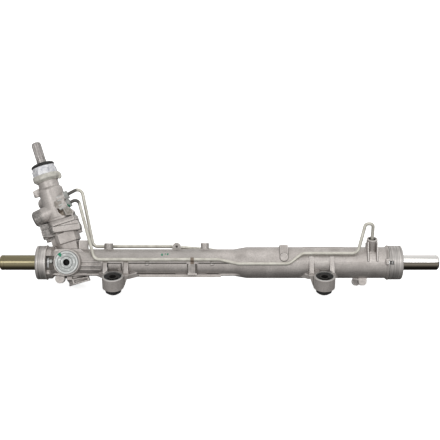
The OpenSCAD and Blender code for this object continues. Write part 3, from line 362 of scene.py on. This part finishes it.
# Brightness of the room from straight down, -1, to straight up, 1. It is tipped a little toward the
# viewer, its tint is slightly warm, and its left and right have a smaller share.
SKY_LEVELS = [(-0.95, 0.07), (-0.8, 0.08), (-0.6, 0.16), (-0.35, 0.44), (0.1, 0.88), (0.9, 0.67)]
SKY_UP = (0, -0.1, 1)
SKY_TINT = (1, 0.995, 0.985)
SIDE_SHARE = 0.74


def soft_light(name, place, target, size, power):
    """A rectangular lamp that looks at a target, all in metres, with its power in watts."""
    lamp = bpy.data.lights.new(name, "AREA")
    lamp.shape = "RECTANGLE"
    lamp.size, lamp.size_y = size
    lamp.energy = power
    made = new_object(name, lamp)
    made.location = place
    aim(made, Vector(target) - Vector(place))


def surroundings():
    """A room brightest a little above the horizon, dimmer overhead and at the sides, dark below."""
    world = bpy.data.worlds.new("studio")
    world.use_nodes = True
    bpy.context.scene.world = world
    room = Nodes(world.node_tree)
    way = room.node("TexCoord").outputs["Generated"]
    rise = room.vector_math("DOT_PRODUCT", way, SKY_UP).outputs["Value"]
    colours = room.node("ValToRGB", {"Fac": room.ramp(rise, -1, 1)})
    stops = colours.color_ramp.elements
    while len(stops) < len(SKY_LEVELS):
        stops.new(0.5)
    for stop, (height, level) in zip(stops, SKY_LEVELS):
        stop.position = (height + 1) / 2
        stop.color = (*(level * tint for tint in SKY_TINT), 1)
    sideways = room.math("POWER", room.node("SeparateXYZ", {0: way}).outputs["X"], 2)
    sky = world.node_tree.nodes["Background"]
    room.feed(sky.inputs["Color"], colours.outputs["Color"])
    room.feed(sky.inputs["Strength"], room.ramp(sideways, 0, 1, 1, SIDE_SHARE))


def studio():
    """Pale floor and three large soft lamps."""
    surroundings()
    soft_light("overhead", (0.1, 0.1, 1.3), (0, 0.05, 0), (1.6, 0.8), 3)
    soft_light("front_left", (-0.9, -1.3, 1.0), (-0.1, 0.05, 0.05), (0.7, 0.7), 3.2)
    soft_light("front_right", (0.75, -1.2, 1.05), (0.15, 0.05, 0.05), (0.7, 0.7), 3.6)
    low = CAD_BOX[0].z
    bm = bmesh.new()
    corners = [(-4, -0.7, low), (4, -0.7, low), (4, 6, low), (-4, 6, low)]
    bm.faces.new([bm.verts.new(c) for c in corners])
    mesh = bpy.data.meshes.new("floor")
    bm.to_mesh(mesh)
    bm.free()
    floor = new_object("floor", mesh)
    look = Look("floor_white", (0.93, 0.93, 0.93), 0.0, 0.7)
    look.set("Emission Color", (1, 1, 1, 1))
    look.set("Emission Strength", 0.7)
    paint(floor, look.material)
    floor.visible_glossy = False
    floor.visible_diffuse = False
    bpy.context.scene.view_settings.view_transform = "Standard"


studio()

# Sizes in mm of the castings, pipes and tube nuts, as in the CAD source
LEFT_X, RIGHT_X = -326, 328
COLLAR_R = 30.5
JOINT_H, BODY_H, NECK_TOP = 71, 82, 165
TOWER_DEPTH = 39
BORE_R = 17.05
PLUG_BOSS, PLUG_R = 43, 21
BULKHEAD_X, END_BUSH_X = 108, 290
MOUNT_X, BUSH_TAIL, BOSS_FOOT, BOSS_TOP = 186, 9.5, 12.3, 34
BUSH_SEAT_R, BUSH_FLANGE_R = 15.5, 19.3
EYE_LUG = (-75.5, 28.4)
PORT_X, PORT_TOP = 273, 48
PIPE_R = 3
NUT_TILT, NUT_FACE = 10, 23.5
NUT_SPOTS = [(-13, BODY_H + 33), (-13, BODY_H + 17.5)]
INLET = at(TOWER, 0, -6, BODY_H + 18) @ spin(-98, "Y")
RETURN = at(TOWER, 0, 0, BODY_H + 39) @ spin(130, "Z") @ spin(90, "Y")

# The splined end of the input shaft
SPLINES = 36
SPLINE_FOOT, SPLINE_TOP = 198, 225.4
SPLINE_ROOT_R, SPLINE_R = 8.4, 8.65

# Metal added to the faces that are machined back
EXTRA = 1.5
# Material index of the machined faces: three on the rack casting, and the recess on the valve casting
TURNED_FACE, COLLAR_FACE, GROOVE_FACE = 1, 2, 3
RECESS_FACE = 2


def nut_place(spot):
    """The frame of a tube nut, with Z along its axis and out of the valve housing."""
    return at(TOWER, 0, *spot) @ spin(90 - NUT_TILT, "Y")


def groove(x, r, width, depth):
    """Outline points of a groove round a cylinder."""
    return [(r, x - width / 2), (r - depth, x - width / 2), (r - depth, x + width / 2), (r, x + width / 2)]


def turned_out(place, outline):
    """A cutter turned about the Z axis of a place."""
    return lambda form: form.turned(place, outline)


def cut_all(piece, face, cutters):
    """Machines a piece with functions that each fill a form. The cut faces get one material index."""
    for fill in cutters:
        form = Form()
        form.material = face
        fill(form)
        machined(piece, form)


def rack_solids():
    """The CAD rack housing with its bores plugged, and the cast forms that are added to it."""
    form = Form()
    form.node("rack_housing")
    form.cylinder(BAR, 24, LEFT_X - EXTRA, RIGHT_X + EXTRA)
    form.cylinder(BAR, COLLAR_R + 1, LEFT_X - EXTRA, LEFT_X + 19)
    form.cylinder(BAR, COLLAR_R + 1, RIGHT_X - 26, RIGHT_X + EXTRA)
    form.cylinder(TOWER, 18.5, -TOWER_DEPTH - EXTRA, JOINT_H + EXTRA)
    form.cylinder(GUIDE, PLUG_R + EXTRA, 0, PLUG_BOSS)
    form.cylinder(at(RACK, PORT_X), 8.5, 10, PORT_TOP - 1)
    for side in (-1, 1):
        form.cylinder(at(ROW, side * MOUNT_X), BUSH_SEAT_R + 2, BUSH_TAIL - 1, BOSS_TOP + 1)
    form.box(GEAR, (-142, -26.3, -6), (4, -21.5, 15.5))
    form.box(GEAR, (296.6, -3.6, 20), (303, 6.3, 31.2))
    form.cylinder(at(GEAR, *EYE_LUG), 4, -3, 0)
    form.cylinder(at(GEAR, -284.5, -28.8), 8.7, -6, 8)
    form.cylinder(at(GEAR, 247, -34), 7.6, -6, 4.5)
    tower_details(form)
    return form


def rack_grooves(form):
    """Shadow lines beside the ribs, the pocket by the left collar, the blind eye and a ring groove."""
    for low, high in ((-160, -57), (-36, 20)):
        form.box(GEAR, (low, -2.4, 16), (high, -0.5, 27))
        form.box(GEAR, (low + 14, -20.8, 6), (high - 20, -19.3, 20))
    for x in (-198, -174):
        form.box(GEAR, (x, -14, 15), (x + 1.8, -2, 28))
    form.box(GEAR, (-198, -2.4, 16), (-172.2, -0.8, 27))
    for x in (-56.5, -42):
        form.box(GEAR, (x, -19, 22.8), (x + 3, -2.5, 28))
    form.box(GEAR, (LEFT_X + 19.5, -14, 20.5), (-292.3, 12, 34))
    form.cylinder(at(GEAR, *EYE_LUG), 2.3, 0, 9)
    form.ring(BAR, 302.4, 303.8, 29.3, 36)


def mount_faces(form):
    """Foot, bore and top face of the two mount bosses."""
    for side in (-1, 1):
        form.turned(at(ROW, side * MOUNT_X), [
            (0, 5), (24, 5), (24, BOSS_FOOT), (BUSH_SEAT_R, BOSS_FOOT), (BUSH_SEAT_R, BOSS_TOP),
            (BUSH_FLANGE_R, BOSS_TOP), (BUSH_FLANGE_R, BOSS_TOP + 3), (0, BOSS_TOP + 3)])


def wire_window(form):
    """The slot in the right collar that shows the lock wire."""
    form.box(GEAR, (RIGHT_X - 27, -4, 21), (RIGHT_X - 18, 3, 34))


def rack_casting():
    """The rack housing, melted into a cast skin and machined again."""
    piece = cast("housing_casting", rack_solids(), 0.75, 2)
    paint(piece, CAST, TURNED, COLLAR, CAST_DARK)
    bar = [(0, LEFT_X - 3), (22.5, LEFT_X - 3), (22.5, LEFT_X + 24), (14.5, LEFT_X + 24),
           (14.5, BULKHEAD_X - 14), (19, BULKHEAD_X - 14), (19, BULKHEAD_X), (21, BULKHEAD_X),
           (21, END_BUSH_X), (23, END_BUSH_X), (23, RIGHT_X + 3), (0, RIGHT_X + 3)]
    left = [(37, LEFT_X - 4), (0.5, LEFT_X - 4), (0.5, LEFT_X), (COLLAR_R - 2, LEFT_X),
            (COLLAR_R - 0.6, LEFT_X + 0.6), (COLLAR_R, LEFT_X + 2), *groove(LEFT_X + 6, COLLAR_R, 1.2, 0.7),
            (COLLAR_R, LEFT_X + 18), (37, LEFT_X + 18)]
    right = [(37, RIGHT_X - 25), (COLLAR_R, RIGHT_X - 25), *groove(RIGHT_X - 22, COLLAR_R, 1.4, 0.8),
             *groove(RIGHT_X - 6, COLLAR_R, 1.2, 0.7), (COLLAR_R, RIGHT_X - 3),
             (COLLAR_R - 0.9, RIGHT_X - 0.9), (COLLAR_R - 3, RIGHT_X), (0.5, RIGHT_X), (0.5, RIGHT_X + 4),
             (37, RIGHT_X + 4)]
    tower = [(0, -TOWER_DEPTH - 1), (16, -TOWER_DEPTH - 1), (16, -21), (12.3, -21), (12.3, 18.5), (14, 18.5),
             (14, 29.5), (16, 29.5), (16, 38.5), (BORE_R, 38.5), (BORE_R, JOINT_H), (60, JOINT_H),
             (60, JOINT_H + 5), (0, JOINT_H + 5)]
    foot = [(0, -TOWER_DEPTH - 6), (19, -TOWER_DEPTH - 6), (19, -TOWER_DEPTH), (0, -TOWER_DEPTH)]
    guide = [(0, -12), (BORE_R, -12), (BORE_R, 32), (PLUG_R, 32), (PLUG_R, PLUG_BOSS), (26, PLUG_BOSS),
             (26, PLUG_BOSS + 5), (0, PLUG_BOSS + 5)]
    port = [(0, 10), (3, 10), (3, 30), (6.85, 30), (6.85, PORT_TOP), (12, PORT_TOP), (12, PORT_TOP + 4),
            (0, PORT_TOP + 4)]
    cut_all(piece, GROOVE_FACE, [rack_grooves])
    cut_all(piece, COLLAR_FACE, [turned_out(BAR, left), turned_out(BAR, right)])
    cut_all(piece, TURNED_FACE, [
        turned_out(BAR, bar), turned_out(TOWER, tower), turned_out(TOWER, foot), turned_out(GUIDE, guide),
        turned_out(at(RACK, PORT_X), port), mount_faces, wire_window])
    shade(piece, 40)
    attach(piece, "housing")
    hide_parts("rack_housing")


def strip(a, b, width):
    """Corners of a straight bar of the given width, laid along the inner side of a line from a to b."""
    way = Vector((b[0] - a[0], b[1] - a[1], 0)).normalized()
    inward = (-way.y * width, way.x * width)
    return [a, b, (b[0] + inward[0], b[1] + inward[1]), (a[0] + inward[0], a[1] + inward[1])]


def tower_details(form):
    """Front of the tower: the lower half of the flange block, its ear, the broad body and a framed plate."""
    form.prism(FACING, [(-14, 64), (-11, 60), (33, 52), (34.5, 55), (35, 62), (-12, 70.7)], 0, 29.5)
    form.prism(FACING, [(-12, 69), (34.5, 61), (33.5, 68), (31, 70.7), (-11.8, 70.7)], 0, 27.5)
    form.prism(FACING, [(-37, 60), (-23, 55.5), (-12, 55.5), (-12, 70.7), (-37, 70.7)], -6, 15)
    upper = [(-24, 3), (-24, -9), (-10.5, -14), (-9.5, -23.5), (20, -22.5), (24.5, -17), (26, -6), (26, 6)]
    lower = [(-23, 3), (-23, -8), (-10, -12), (-8, -19.5), (18, -19), (22, -14), (23, -5), (23, 6)]
    form.prism(TOWER, upper, 37, 56)
    form.prism(TOWER, lower, 20, 38)
    plate = [(-8.4, -39.2), (21.3, -40.8), (20.9, -33.1), (-8.9, -28.4)]
    form.prism(FACING, plate, 8, 19.5)
    for a, b in zip(plate, plate[1:] + plate[:1]):
        form.prism(FACING, strip(a, b, 2.8), 8, 22)


def valve_solids():
    """The CAD valve housing with its bores plugged, the upper half of the flange block and small bosses."""
    form = Form()
    form.node("valve_housing")
    wedge = [(-80, -10), (-80, -25.3), (-75.5, -28.6), (-71.3, -29.2), (-71.3, -10)]
    form.prism(FACING, [(-11.6, 71.3), (33, 71.3), (27.5, 78.5), (-9.5, 80)], 0, 25.5)
    form.prism(TOWER @ ALONG, wedge, -11.2, 29)
    form.prism(FACING, [(-37, 71.3), (-12, 71.3), (-12, 80), (-36, 82)], -6, 15)
    form.prism(FACING, [(-33, 146), (-31, 138), (-22, 133.5), (-12, 136), (-12, 149), (-20, 148.5)], -9, -1)
    form.prism(FACING, [(3, 104), (8, 99), (20, 95), (22, 108), (21, 122), (13, 121), (4, 117.5)], 2, 18)
    form.prism(FACING, [(14.5, 97), (16, 84), (27.5, 80.5), (31.5, 87), (25, 97)], 2, 22)
    form.cylinder(TOWER, 18.2, JOINT_H - EXTRA, NECK_TOP)
    form.cylinder(INLET, 9.5, 0, 43)
    form.cylinder(RETURN, 8.5, 0, 35)
    for spot in NUT_SPOTS:
        form.cylinder(nut_place(spot), 6.4, 0, NUT_FACE)
    return form


def nut_bores(form):
    """Drillings, seats and faces of the two tube nuts."""
    for spot in NUT_SPOTS:
        form.turned(nut_place(spot), [(0, 8), (3, 8), (3, 17.8), (5, 17.8), (5, NUT_FACE), (9, NUT_FACE),
                                      (9, NUT_FACE + 3), (0, NUT_FACE + 3)])


def valve_casting():
    """The valve housing, cast and machined in the same way, with a stained recess beside its nuts."""
    piece = cast("valve_casting", valve_solids(), 0.7, 3)
    paint(piece, CAST, TURNED, RECESS)
    bore = [(0, JOINT_H - 5), (60, JOINT_H - 5), (60, JOINT_H), (BORE_R, JOINT_H), (BORE_R, 127.5),
            (12, 127.5), (12, 134), (14, 134), (14, 149), (15, 149), (15, NECK_TOP + 2), (0, NECK_TOP + 2)]
    inlet = [(0, 8), (4, 8), (4, 26), (8, 28), (8, 44), (18, 44), (18, 49), (0, 49)]
    outlet = [(0, 8), (3.5, 8), (3.5, 19), (7, 21), (7, 37), (15, 37), (15, 41), (0, 41)]
    recess = [(4, 101), (5, 92), (9, 86), (15.5, 84.5), (14.5, 97), (10, 99)]
    cut_all(piece, TURNED_FACE, [
        turned_out(TOWER, bore), turned_out(INLET, inlet), turned_out(RETURN, outlet), nut_bores])
    cut_all(piece, RECESS_FACE, [lambda form: form.prism(FACING, recess, 17.8, 30)])
    shade(piece, 40)
    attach(piece, "housing")
    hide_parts("valve_housing")


def rounded(corners, steps=10):
    """Points of a path whose corners are (point, bend radius), each bend an arc."""
    points = [corners[0][0]]
    for (a, _), (b, r), (c, _) in zip(corners, corners[1:], corners[2:]):
        u, w = (a - b).normalized(), (c - b).normalized()
        half = u.angle(w) / 2
        centre = b + (u + w).normalized() * r / math.sin(half)
        start = b + u * r / math.tan(half) - centre
        for k in range(steps + 1):
            bend = (math.pi - 2 * half) * k / steps
            points.append(centre + start * math.cos(bend) - u * r * math.sin(bend))
    return points + [corners[-1][0]]


def in_gear(x, height, depth):
    """A point of the gear plane's frame."""
    return GEAR @ Vector((x, height, depth))


def from_nut(spot, reach):
    """A point on a tube nut's axis, out from its face."""
    return nut_place(spot) @ Vector((0, 0, NUT_FACE + reach))


def pipes():
    """The two cylinder pipes, along the routes of the CAD source, with evenly rounded bends."""
    port = [RACK @ Vector(p) for p in ((PORT_X - 13.5, 0, 77), (PORT_X, 0, 77), (PORT_X, 0, 36))]
    routes = {
        "front_pipe": [
            (from_nut(NUT_SPOTS[1], -3), 0), (from_nut(NUT_SPOTS[1], 22), 9), (in_gear(-220, 5, 27.3), 12),
            (in_gear(0, 5, 27.3), 20), (in_gear(34, -2.5, 32.5), 20), (in_gear(124, -2.5, 32.5), 16),
            (in_gear(148, 16, 29), 16), (in_gear(246, 16, 29), 12), (port[0], 6), (port[1], 6),
            (port[2], 0)],
        "rear_pipe": [
            (from_nut(NUT_SPOTS[0], -3), 0), (from_nut(NUT_SPOTS[0], 34), 10),
            (in_gear(-227.5, 29, -14), 10), (in_gear(-90, 29, -14), 30), (in_gear(-20, 24, -26), 30),
            (in_gear(50, 14, -35), 20), (in_gear(90, 14, -35), 0)]}
    for node, corners in routes.items():
        form = Form()
        form.tube(rounded(corners), PIPE_R)
        piece = new_object(node + "_tube", form.mesh(node + "_tube"))
        paint(piece, PIPE)
        shade(piece)
        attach(piece, "housing")
        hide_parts(node)


def valve_hexes():
    """Hexagon adapters behind the tube nuts, and the screw head in the pocket beside the left boot seat."""
    form = Form()
    hexagon = [(8.6 * math.cos(a), 8.6 * math.sin(a)) for a in turns(6)]
    for spot, start in zip(NUT_SPOTS, (-15.5, -16)):
        form.prism(nut_place(spot), hexagon, NUT_FACE + start, NUT_FACE - 6)
        form.cylinder(nut_place(spot), 7.2, NUT_FACE - 7, NUT_FACE - 0.5)
    form.turned(at(GEAR, -297.6, 2.1), [(0, 20), (4.1, 20), (4.1, 27), (3.2, 28), (0, 28)], 6)
    piece = new_object("valve_hexes", form.mesh("valve_hexes"))
    paint(piece, GREY_ZINC)
    bevel = piece.modifiers.new("edges", "BEVEL")
    bevel.width = 0.5 * MM
    bevel.segments = 2
    shade(piece)
    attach(piece, "housing")


def shaft_splines():
    """Ridges of the splined end of the input shaft, over the grooved CAD solid, and its domed tip."""
    form = Form()
    outline = []
    for k in range(SPLINES):
        for share, r in ((0, SPLINE_ROOT_R), (0.28, SPLINE_R), (0.62, SPLINE_R), (0.9, SPLINE_ROOT_R)):
            a = 2 * math.pi * (k + share) / SPLINES
            outline.append((r * math.cos(a), r * math.sin(a)))
    form.prism(TOWER, outline, SPLINE_FOOT, SPLINE_TOP)
    form.turned(TOWER, [(0, 224), (8.3, 224), (8.3, 226.6), (7.6, 228.4), (5.4, 229.8), (2.4, 230.5),
                        (0, 230.6)])
    piece = new_object("shaft_splines", form.mesh("shaft_splines"))
    paint(piece, SHAFT)
    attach(piece, "input")


def seal_dome():
    """The domed rubber seal on the valve cap, round the input shaft."""
    form = Form()
    form.turned(TOWER, [(9.4, 183.1), (20.8, 183.1), (21.4, 184.2), (21.2, 186.2), (19.6, 188.2),
                        (15.5, 189.8), (11, 190.4), (9.4, 190.4)])
    piece = new_object("seal_dome", form.mesh("seal_dome"))
    paint(piece, RUBBER)
    shade(piece)
    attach(piece, "housing")
    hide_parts("dust_seal")


def collar_band():
    """The clamp band round the top of the valve neck: flared at its foot, with a lug on its right."""
    form = Form()
    lug = [(21, 154), (24.5, 154), (27, 157.5), (27, 163), (25.6, 165.5), (23.8, 165.5)]
    form.turned(TOWER, [(18.7, 155), (20.2, 155), (24.2, 158.8), (24.7, 159.8), (24.7, 166.6),
                        (24.1, 167.8), (23.5, 167.8), (23.5, 164.8), (18.7, 164.8)])
    form.prism(FACING, lug, -4.5, 4.5)
    piece = cast("collar_band", form, 0.5, 2)
    paint(piece, RING_ZINC)
    shade(piece, 40)
    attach(piece, "housing")
    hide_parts("collar_ring")


def soften(nodes, width):
    """Rounds the edges of CAD nodes with a bevel modifier, which leaves their meshes as they are."""
    for name in nodes:
        obj = frame["nodes"][name]
        bevel = obj.modifiers.new("edges", "BEVEL")
        bevel.width = width * MM
        bevel.segments = 2
        bevel.limit_method = "ANGLE"
        bevel.angle_limit = math.radians(SHARP)
        bevel.harden_normals = True


GREEN = (0.03, 0.22, 0.13)

# Dark dabs on the castings: stains, and painted shade at the flange ear, the inlet and the plate by the
# valve nuts. Each is a centre, a size in mm and a colour
STAINS_AND_SHADE = [(TOWER @ Vector((-27, -10, 67)), 19, (0.115, 0.11, 0.105)),
          (TOWER @ Vector((-38, -6, 95)), 21, (0.13, 0.128, 0.122)),
          (TOWER @ Vector((21, -22, 89)), 9.5, (0.17, 0.155, 0.13)),
          (TOWER @ Vector((8, -20, 108)), 8, (0.2, 0.18, 0.155)),
          (in_gear(-243, 36, -8), 13, (0.2, 0.19, 0.18)),
          (in_gear(-216, -9, 22), 13, (0.27, 0.25, 0.235)),
          (in_gear(-46, -11, 25), 9, (0.27, 0.25, 0.235)),
          (in_gear(244.5, -36, 3), 7.5, (0.09, 0.085, 0.08))]

# Green paint marks on the front of the tube: place in the gear plane and radius
MARKS = [(-100.8, 13.6, 1.9), (-95.2, 14.8, 1.1), (-90.7, 14.8, 1.5)]


def dabs(look, colour, spots):
    """Green paint dabs, each a (point, size) pair in mm of the row's frame."""
    for centre, size in spots:
        colour = look.mix(look.spot(centre, size), colour, GREEN)
    return colour


def cast_look():
    """Die-cast aluminium: warm grey, faintly mottled, with painted shade in the corners, and edges paler
    from wear and a painted highlight.
    """
    look = Look("cast_aluminium", (0.5, 0.47, 0.45), 0.7, 0.45)
    blotch = look.ramp(look.noise(38, 4.0), 0.3, 0.7)
    colour = look.mix(blotch, (0.45, 0.415, 0.392), (0.63, 0.59, 0.562))
    speckle = look.ramp(look.noise(380, 4.0, 0.65), 0.42, 0.66, 0.0, 0.42)
    colour = look.mix(speckle, colour, (0.30, 0.275, 0.26))
    stain_and_shade_patches = look.ramp(look.noise(260, 5.0, 0.7), 0.4, 0.6, 0.45, 0.9)
    # Stains and painted shade, made patchy by noise
    for centre, size, tint in STAINS_AND_SHADE:
        share = look.math("MULTIPLY", look.spot(centre, size, 0.2), stain_and_shade_patches)
        colour = look.mix(share, colour, tint)
    place = look.node("SeparateXYZ", {0: look.place()})
    # Painted shade: the tube's upper side is darker between the tower and the middle
    painted_shade_band = look.math("MULTIPLY", look.band(place.outputs["X"], -0.21, -0.04, 0.05),
                     look.ramp(place.outputs["Z"], 0.05, 0.056, 0.0, 0.5))
    colour = look.mix(painted_shade_band, colour, (0.29, 0.275, 0.26))
    # Painted shade in the corners; on the edges, wear and a painted highlight
    point = look.node("NewGeometry").outputs["Pointiness"]
    colour = look.mix(look.ramp(point, 0.44, 0.495, 1.0, 0.0), colour, (0.085, 0.075, 0.068))
    colour = look.mix(look.ramp(point, 0.512, 0.555), colour, (0.80, 0.765, 0.735))
    front = look.ramp(place.outputs["Y"], 0.046, 0.047, 1.0, 0.0)
    for x, y, r in MARKS:
        ragged = look.ramp(look.noise(700, 2.0), 0.3, 0.7, -0.0008, 0.0008)
        away = look.math("ADD", look.from_axis(at(GEAR, x, y)), ragged)
        mark = look.math("MULTIPLY", look.ramp(away, r * MM, r * MM + 0.0003, 1.0, 0.0), front)
        colour = look.mix(mark, colour, GREEN)
    look.set("Base Color", colour)
    look.set("Roughness", look.ramp(look.noise(420, 2.0), 0.3, 0.7, 0.34, 0.5))
    look.bump(look.noise(700, 3.0), 0.0002, 0.6)
    look.bump(look.noise(110, 3.0), 0.0006, 0.5)
    return look.material


def collar_look():
    """Cast metal turned to a boot seat, with fine rings round the rack axis."""
    look = Look("turned_casting", (0.42, 0.40, 0.38), 0.75, 0.4)
    rings = look.noise(520, 2.0, stretch=(1, 0.02, 0.02))
    colour = look.mix(look.ramp(rings, 0.35, 0.65), (0.35, 0.33, 0.315), (0.68, 0.65, 0.625))
    stain = look.ramp(look.noise(60, 4.0), 0.5, 0.8, 0.0, 0.5)
    look.set("Base Color", look.mix(stain, colour, (0.26, 0.245, 0.235)))
    look.bump(rings, 0.0004, 0.6)
    return look.material


def plug_look():
    """A turned plug face: bright rings round a drilling painted black as shade, with a dab of green paint.
    """
    look = Look("plug_face", (0.5, 0.52, 0.51), 0.75, 0.36)
    away = look.from_axis(GUIDE)
    pitch = 0.0021
    fine = look.math("SINE", look.math("MULTIPLY", away, 2 * math.pi / pitch))
    colour = look.mix(look.ramp(fine, -1, 1), (0.24, 0.25, 0.245), (0.58, 0.6, 0.59))
    colour = look.mix(look.ramp(look.noise(240, 4.0), 0.5, 0.66, 0.0, 0.6), colour, (0.82, 0.84, 0.83))
    # A pale ring near the rim, two dark rings, the dark rim, and the drilling painted black as painted shade
    colour = look.mix(look.band(away, 0.0184, 0.0191, 0.0004), colour, (0.62, 0.63, 0.62))
    for r in (0.0105, 0.0161):
        colour = look.mix(look.band(away, r - 0.0002, r + 0.0002, 0.0005), colour, (0.13, 0.135, 0.13))
    colour = look.mix(look.ramp(away, 0.0195, 0.0205), colour, (0.12, 0.12, 0.115))
    colour = look.mix(look.ramp(away, 0.0056, 0.0062, 1.0, 0.0), colour, (0.006, 0.006, 0.006))
    look.set("Base Color", dabs(look, colour, [((-279.4, 17, 68.6), 3.4), ((-277.5, 16, 66), 2.6)]))
    look.set("Roughness", look.ramp(look.noise(120, 4.0), 0.3, 0.7, 0.3, 0.45))
    look.bump(fine, 0.0001, 0.4)
    return look.material


def turned_look(name, colour, metallic=0.8, rough=0.38, spots=()):
    """Metal as the tool left it, with faint tool marks."""
    look = Look(name, colour, metallic, rough)
    dark = tuple(c * 0.72 for c in colour)
    mottled = look.mix(look.ramp(look.noise(160, 4.0), 0.35, 0.65), dark, colour)
    look.set("Base Color", dabs(look, mottled, spots))
    look.set("Roughness", look.ramp(look.noise(120, 4.0), 0.3, 0.7, rough - 0.05, rough + 0.08))
    look.bump(look.noise(900, 2.0), 0.00001, 0.2)
    return look.material


def recess_look():
    """Stained floor of the recess beside the valve nuts: dark brown above, tan below."""
    look = Look("stained_recess", (0.2, 0.15, 0.11), 0.2, 0.6)
    upper = look.spot(TOWER @ Vector((8, -17, 99)), 8.5, 0.15)
    tan = look.mix(look.ramp(look.noise(300, 4.0), 0.4, 0.6), (0.24, 0.2, 0.16), (0.4, 0.34, 0.28))
    look.set("Base Color", look.mix(upper, tan, (0.09, 0.065, 0.045)))
    return look.material


def cap_look():
    """Pale bluish plating, mottled and a little chalky."""
    look = Look("white_zinc", (0.75, 0.75, 0.78), 0.45, 0.48)
    cloud = look.ramp(look.noise(170, 4.0, 0.6), 0.35, 0.65)
    look.set("Base Color", look.mix(cloud, (0.56, 0.565, 0.61), (0.93, 0.93, 0.935)))
    look.set("Roughness", look.ramp(look.noise(120, 4.0), 0.3, 0.7, 0.42, 0.56))
    return look.material


def pipe_look():
    """Zinc-plated pipe, darker for a short way behind its nuts."""
    look = Look("pipe_zinc", (0.5, 0.485, 0.42), 0.65, 0.33)
    colour = look.mix(look.ramp(look.noise(90, 4.0), 0.35, 0.65), (0.54, 0.52, 0.46), (0.70, 0.68, 0.61))
    for spot in NUT_SPOTS:
        share = look.spot(from_nut(spot, 9), 17, 0.15)
        colour = look.mix(share, colour, (0.13, 0.125, 0.115))
    look.set("Base Color", colour)
    look.set("Roughness", look.ramp(look.noise(300, 3.0), 0.3, 0.7, 0.34, 0.5))
    return look.material


def bar_look():
    """Ground bar steel, olive all round on the left. On the right, painted reflection by height: pale on top
    with a thin dark line below it, brown lower down, near black at the bottom.
    """
    look = Look("bar_steel", (0.6, 0.58, 0.55), 1.0, 0.16)
    place = look.node("SeparateXYZ", {0: look.place()})
    left = look.ramp(place.outputs["X"], -0.33, -0.30, 1.0, 0.0)
    height = look.math("ADD", place.outputs["Z"], look.ramp(look.noise(40, 3.0), 0.3, 0.7, -0.0004, 0.0004))
    # Painted reflection and shade on the right part, by height: pale on top, brown below, then near black,
    # with a thin dark line under the pale top
    right = look.mix(look.ramp(height, 0.0414, 0.0420, 1.0, 0.0), (0.93, 0.91, 0.89), (0.23, 0.205, 0.17))
    right = look.mix(look.ramp(height, 0.0325, 0.0365, 1.0, 0.0), right, (0.10, 0.085, 0.07))
    right = look.mix(look.band(height, 0.0406, 0.0416, 0.0006), right, (0.05, 0.045, 0.04))
    look.set("Base Color", look.mix(left, right, (0.27, 0.24, 0.15)))
    look.set("Roughness", look.ramp(look.noise(60, 4.0, stretch=(0.3, 3, 3)), 0.3, 0.7, 0.12, 0.24))
    look.bump(look.noise(900, 2.0, stretch=(6, 1, 1)), 0.00002, 0.3)
    return look.material


def rubber_look():
    """Black rubber with a fine grain."""
    look = Look("black_rubber", (0.012, 0.012, 0.012), 0.0, 0.55)
    look.set("Roughness", look.ramp(look.noise(200, 3.0), 0.3, 0.7, 0.45, 0.7))
    look.bump(look.noise(900, 2.0), 0.0001, 0.3)
    return look.material


CAST = cast_look()
CAST_DARK = turned_look("shaded_casting", (0.16, 0.145, 0.13), 0.6, 0.5)
COLLAR = collar_look()
TURNED = turned_look("turned_aluminium", (0.56, 0.55, 0.535))
PLUG = plug_look()
RECESS = recess_look()
STEEL = turned_look("bright_steel", (0.55, 0.55, 0.55), 1.0, 0.22)
DARK = turned_look("dark_steel", (0.045, 0.042, 0.04), 0.6, 0.45)
BRONZE = turned_look("bronze", (0.42, 0.29, 0.13), 1.0, 0.32)
BAR_STEEL = bar_look()
SHAFT = turned_look("shaft_steel", (0.46, 0.435, 0.42), 0.95, 0.3)
YELLOW_ZINC = turned_look("yellow_zinc", (0.50, 0.48, 0.38), 0.5, 0.42)
RING_ZINC = turned_look("ring_zinc", (0.68, 0.66, 0.60), 0.3, 0.5)
GREY_ZINC = turned_look("grey_zinc", (0.50, 0.51, 0.49), 0.6, 0.36,
                        [((-273, 92.5, 127.5), 3.6), ((-269, 94, 126), 2.6)])
WHITE_ZINC = cap_look()
WIRE = turned_look("wire_zinc", (0.20, 0.19, 0.18), 0.5, 0.45)
CLIP = turned_look("clip_brown", (0.27, 0.215, 0.17), 0.4, 0.5)
PIPE = pipe_look()
POLYMER = turned_look("ring_polymer", (0.03, 0.05, 0.04), 0.0, 0.4)
RUBBER = rubber_look()
SLOT_LOOKS = {
    "casting": CAST, "machined_aluminium": TURNED, "rubber_black": RUBBER, "steel_dark": DARK,
    "steel_bright": STEEL, "bronze": BRONZE, "bar_steel": BAR_STEEL, "ring_polymer": POLYMER,
    "shaft_steel": SHAFT, "zinc_yellow": YELLOW_ZINC, "zinc_grey": GREY_ZINC, "cap_white": WHITE_ZINC,
    "pipe_steel": PIPE}
NODE_LOOKS = {"guide_plug": PLUG, "pipe_clip": CLIP, "left_lock_wire": WIRE, "right_lock_wire": WIRE}


def paint_nodes():
    """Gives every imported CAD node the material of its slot."""
    for part in frame["record"]["subparts"]:
        data = frame["nodes"][part["node"]].data
        data.materials.clear()
        data.materials.append(NODE_LOOKS.get(part["node"], SLOT_LOOKS[part["material_slot"]]))


paint_nodes()
rack_casting()
valve_casting()
pipes()
valve_hexes()
shaft_splines()
seal_dome()
collar_band()
soften(["valve_cap", "valve_nuts", "flange_bolts", "rear_port_nut", "guide_plug"], 0.4)
